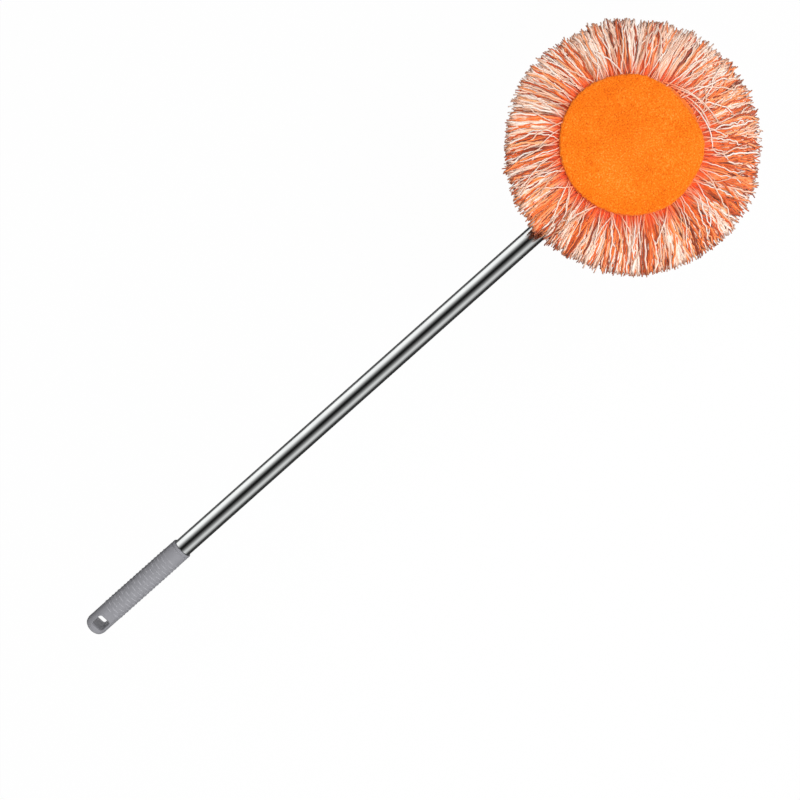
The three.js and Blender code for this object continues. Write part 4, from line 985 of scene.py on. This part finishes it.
def plush_disc():
    """The stuffed disc: crowned, rounded over at its rim, and covered in uneven pile, with tufts of about
    1.5 mm and 0.8 mm and soft dents of about 24 mm"""
    base = plush_low.z
    crown = plush_high.z - plush_low.z
    rings, sides = 104, 640
    profile = [(share, 0) for share in (0.25, 0.5, 0.75, 0.9, RIM_SHARE)]
    for step in range(9):
        angle = math.pi * (step / 8 - 0.5)
        profile.append((1 - ROLL_WIDE_SHARE + ROLL_WIDE_SHARE * math.cos(angle),
                        ROLL_HIGH_SHARE + ROLL_HIGH_SHARE * math.sin(angle)))
    for ring in range(rings):
        share = RIM_SHARE * (1 - ring / rings)
        profile.append((share, SHOULDER_SHARE + CROWN_SHARE * (1 - (share / RIM_SHARE) ** 2)))
    points = [(HEAD_X, 0, base)]
    for share, up in profile:
        for side in range(sides):
            turn = side / sides
            angle = FULL_TURN * turn
            reach = plush_reach(turn) * share
            spot = Vector((reach * math.cos(angle), reach * math.sin(angle), up * crown))
            pile = noise.noise(spot / (1.5 * MM)) + 0.6 * noise.noise(spot / (0.8 * MM))
            dent = noise.noise(spot / (24 * MM))
            fuzz = PILE_DEPTH * pile if up > 0 else 0
            uneven = 2 * fuzz + 0.9 * MM * noise.noise(spot / (5 * MM))
            out = 1 + uneven / MEAN_REACH / MM * (share > UNEVEN_FROM_SHARE)
            lift = (fuzz + 0.5 * MM * dent) * (share <= PILE_TO_SHARE)
            points.append((HEAD_X + spot.x * out, spot.y * out, base + max(spot.z + lift, 0)))
    points.append((HEAD_X, 0, base + crown))
    count = len(profile)
    faces = [(a + 1, b + 1, c + 1, d + 1) for a, b, c, d in grid_faces(count, sides)]
    last = len(points) - 1
    faces += [(0, 1 + (side + 1) % sides, 1 + side) for side in range(sides)]
    faces += [(last, last - sides + side, last - sides + (side + 1) % sides) for side in range(sides)]
    return settle(tidy_mesh(new_object("plush", points, faces), 0.0002 * MM), sharp=180)


plush = fit(plush_disc(), "cover", "orange_plush", pad_plush, "plush_pad")


# Fringe. Colour side 1 keeps the strands that draw more than the colour share, the white ones, and -1
# those that draw less, the orange ones. This share with side -1, or its negative with 1, keeps them all.
EVERY_STRAND = 9.0

fringe = yarn_tree()
YARN = {
    "Seed": 11, "From": 0, "Sweep": FULL_TURN, "Root radius": 85.5 * MM,
    "Reach": 164.2 * MM, "Reach spread": 13 * MM, "Root height": 50 * MM, "Layer height": 5.5 * MM,
    "Arch": 4 * MM, "Droop": 3 * MM, "Tufts": 150, "Gather": 1.0, "Lean": 8 * MM, "Sway": 6 * MM,
    "Crinkle": 13 * MM, "Combed": 1.0, "Swirl": 0.0, "Swirl spread": 0.0, "Ruffle": 1.4,
    "Ruffle side": math.radians(-45), "White side": math.radians(80),
    "Root shade side": math.radians(150), "Tip shift": 3 * MM, "Thickness": 1.05 * MM, "Colour side": 1,
    "Colour share": 0.5, "Ragged": 0.3, "Points": 16, "Head X": HEAD_X}
white_row = grown("yarn_white", fringe, {
    **YARN, "Strands": 2700, "Material": yarn_white}, sharp=180)
fit(white_row, "cover", "white_yarn", yarn_white, "fringe_upper_white")
orange_row = grown("yarn_orange", fringe, {
    **YARN, "Strands": 2300, "Seed": 23, "Root height": 52 * MM, "Reach": 164.5 * MM, "Droop": 6 * MM,
    "Colour side": -1, "Colour share": 0.57, "Ragged": 0.6, "Material": yarn_orange}, sharp=180)
fit(orange_row, "cover", "orange_yarn", yarn_orange, "fringe_upper_orange")
under_row = grown("yarn_under", fringe, {
    **YARN, "Strands": 700, "Seed": 31, "Root height": 46 * MM, "Reach": 160 * MM, "Reach spread": 5 * MM,
    "Layer height": 2 * MM, "Droop": 2 * MM, "Gather": 0.0, "Lean": 3 * MM, "Ruffle": 0.3,
    "Colour side": -1, "Colour share": EVERY_STRAND, "Points": 11, "Material": yarn_orange}, sharp=180)
fit(under_row, "cover", "orange_yarn", yarn_orange)
STRAY = {
    **YARN, "Root height": 58 * MM, "Layer height": 3 * MM, "Reach": 155 * MM, "Reach spread": 24 * MM,
    "Gather": 0.0, "Arch": 4 * MM, "Points": 26, "Thickness": 0.8 * MM, "Colour share": -EVERY_STRAND,
    "Material": yarn_white}
strays = grown("yarn_strays", fringe, {
    **STRAY, "Strands": 120, "Seed": 37, "Lean": 12 * MM, "Sway": 8 * MM,
    "Swirl spread": math.radians(11)}, sharp=180)
fit(strays, "cover", "white_yarn", yarn_white)
arcs = grown("yarn_arcs", fringe, {
    **STRAY, "Strands": 5, "Thickness": 0.7 * MM, "Seed": 53, "From": math.radians(-6),
    "Sweep": math.radians(38), "Root radius": 88 * MM, "Reach": 120 * MM, "Reach spread": 26 * MM,
    "Swirl": math.radians(-42), "Swirl spread": math.radians(18), "Lean": 2 * MM, "Sway": 2 * MM,
    "Crinkle": 9 * MM, "Ruffle": 0.0, "Combed": 0.0}, sharp=180)
fit(arcs, "cover", "white_yarn", yarn_white)
LOWER = {
    **YARN, "Sweep": math.radians(80), "Reach": 141 * MM, "Reach spread": 8 * MM,
    "Root height": 46 * MM, "Layer height": 4 * MM, "Arch": 6 * MM, "Droop": 45 * MM, "Crinkle": 9 * MM,
    "Ruffle": 0.2, "Combed": 0.3, "Tip shift": 0.0, "Colour side": -1, "Colour share": EVERY_STRAND,
    "Thickness": 0.9 * MM, "Strands": 300, "Points": 18, "Material": yarn_orange}
left_row = grown("yarn_left", fringe, {**LOWER, "Seed": 41, "From": math.radians(50)}, sharp=180)
fit(left_row, "cover", "orange_yarn", yarn_orange, "fringe_lower_left")
right_row = grown("yarn_right", fringe, {**LOWER, "Seed": 43, "From": math.radians(-130)}, sharp=180)
fit(right_row, "cover", "orange_yarn", yarn_orange, "fringe_lower_right")


# Floor, world and lamp. The floor lies low enough for the head to swing and fold over in full sight.

FLOOR_Z = -0.45
FLOOR_HALF = 4

# How much of the floor's look is its own white, and not the light that falls on it
FLOOR_WHITE_SHARE = 0.96


def white_floor():
    corners = [(x * FLOOR_HALF, y * FLOOR_HALF, FLOOR_Z) for x, y in ((-1, -1), (1, -1), (1, 1), (-1, 1))]
    floor = new_object("floor", corners, [(0, 1, 2, 3)])
    material, tree, shader = finish_of("white studio floor", Roughness=1)
    shader.inputs["Base Color"].default_value = linear("#FDFDFD")
    shader.inputs["Specular IOR Level"].default_value = 0
    glow = add(tree, "ShaderNodeEmission", {"Color": (1, 1, 1, 1), "Strength": 1})[0]
    seen = add(tree, "ShaderNodeLightPath")["Is Camera Ray"]
    most = add(tree, "ShaderNodeMath", {0: seen, 1: FLOOR_WHITE_SHARE}, operation="MULTIPLY")[0]
    both = add(tree, "ShaderNodeMixShader", {0: most, 1: shader.outputs[0], 2: glow})[0]
    tree.links.new(both, tree.nodes["Material Output"].inputs["Surface"])
    floor.data.materials.append(material)


# What the polished tube reflects, by the angle in degrees from straight up: towards +Y for a positive
# one. A dark ceiling over the camera, a bright wall at one side, a paler one at the other, and plain
# walls at both ends of the pole.
MOST_STUDIO = 1.4
ENDS_STUDIO = 0.9
STUDIO = ((-90, 0.33), (-75, 0.7), (-60, 0.88), (-45, 0.58), (-30, 0.23), (-15, 0.055), (0, 0.012),
          (15, 0.085), (30, 0.39), (45, 0.9), (60, 1.33), (90, 1.33))


def studio_world():
    """Polished metal sees the studio's walls; everything else gets plain light, less from the +Y side"""
    world = bpy.data.worlds.new("studio")
    world.use_nodes = True
    scene.world = world
    tree = world.node_tree
    tree.nodes.clear()
    toward = add(tree, "ShaderNodeTexCoord")["Generated"]
    parts = add(tree, "ShaderNodeSeparateXYZ", {0: toward})
    tilt = add(tree, "ShaderNodeMath", {0: parts["Y"], 1: parts["Z"]}, operation="ARCTAN2")[0]
    share = add(tree, "ShaderNodeMath", {0: tilt, 1: 1 / math.pi, 2: 0.5}, operation="MULTIPLY_ADD")[0]
    bands = fill_ramp(add(tree, "ShaderNodeValToRGB", {0: share}),
                      [(0.5 + degrees / 180, strength / MOST_STUDIO) for degrees, strength in STUDIO],
                      "CARDINAL")
    endways = add(tree, "ShaderNodeMath", {0: parts["X"]}, operation="ABSOLUTE")[0]
    plain = add(tree, "ShaderNodeMapRange", {"Value": endways, "From Min": 0.5, "From Max": 0.75},
                interpolation_type="SMOOTHSTEP")[0]
    pale = ENDS_STUDIO / MOST_STUDIO
    walls = add(tree, "ShaderNodeMix", {0: plain, 6: bands, 7: (pale, pale, pale, 1)}, data_type="RGBA")[2]
    studio = add(tree, "ShaderNodeBackground", {"Color": walls, "Strength": MOST_STUDIO})[0]
    fill = add(tree, "ShaderNodeMapRange", {
        "Value": parts["Y"], "From Min": -0.6, "From Max": 0.6, "To Min": 0.5, "To Max": 0.06})[0]
    soft = add(tree, "ShaderNodeBackground", {"Color": (1, 1, 1, 1), "Strength": fill})[0]
    white = add(tree, "ShaderNodeBackground", {"Color": (1, 1, 1, 1), "Strength": 1})[0]
    path = add(tree, "ShaderNodeLightPath")
    light = add(tree, "ShaderNodeMixShader", {0: path["Is Glossy Ray"], 1: soft, 2: studio})[0]
    both = add(tree, "ShaderNodeMixShader", {0: path["Is Camera Ray"], 1: light, 2: white})[0]
    end = tree.nodes.new("ShaderNodeOutputWorld")
    tree.links.new(both, end.inputs["Surface"])


# The dark cards lie under the pole's length, just above the level on which the mop lies
CARD_START, CARD_END, CARD_Z = -0.6, 0.32, 1 * MM


def dark_card(name, near, far, colour, shades):
    """A dark card beside the pole, which the tube reflects. It may also shade its side."""
    corners = [(CARD_START, near, CARD_Z), (CARD_END, near, CARD_Z), (CARD_END, far, CARD_Z),
               (CARD_START, far, CARD_Z)]
    card = new_object(name, corners, [(0, 1, 2, 3)])
    material, tree, shader = finish_of(name, Roughness=1)
    shader.inputs["Base Color"].default_value = linear(colour)
    card.data.materials.append(material)
    for sight in ("camera", "transmission", "shadow", "volume_scatter"):
        setattr(card, "visible_" + sight, False)
    card.visible_diffuse = shades


def overhead_lamp():
    data = bpy.data.lights.new("overhead softbox", "AREA")
    data.shape = "SQUARE"
    data.size = 3
    data.energy = 71
    lamp = bpy.data.objects.new("overhead softbox", data)
    lamp.location = (0.1, -0.5, 2.2)
    lamp.rotation_euler = (math.radians(10), 0, 0)
    lamp.visible_glossy = False
    scene.collection.objects.link(lamp)


dark_card("card left", 16 * MM, 110 * MM, "#565656", True)
dark_card("card right", -16 * MM, -260 * MM, "#303030", False)
white_floor()
studio_world()
overhead_lamp()
scene.view_settings.view_transform = "Standard"
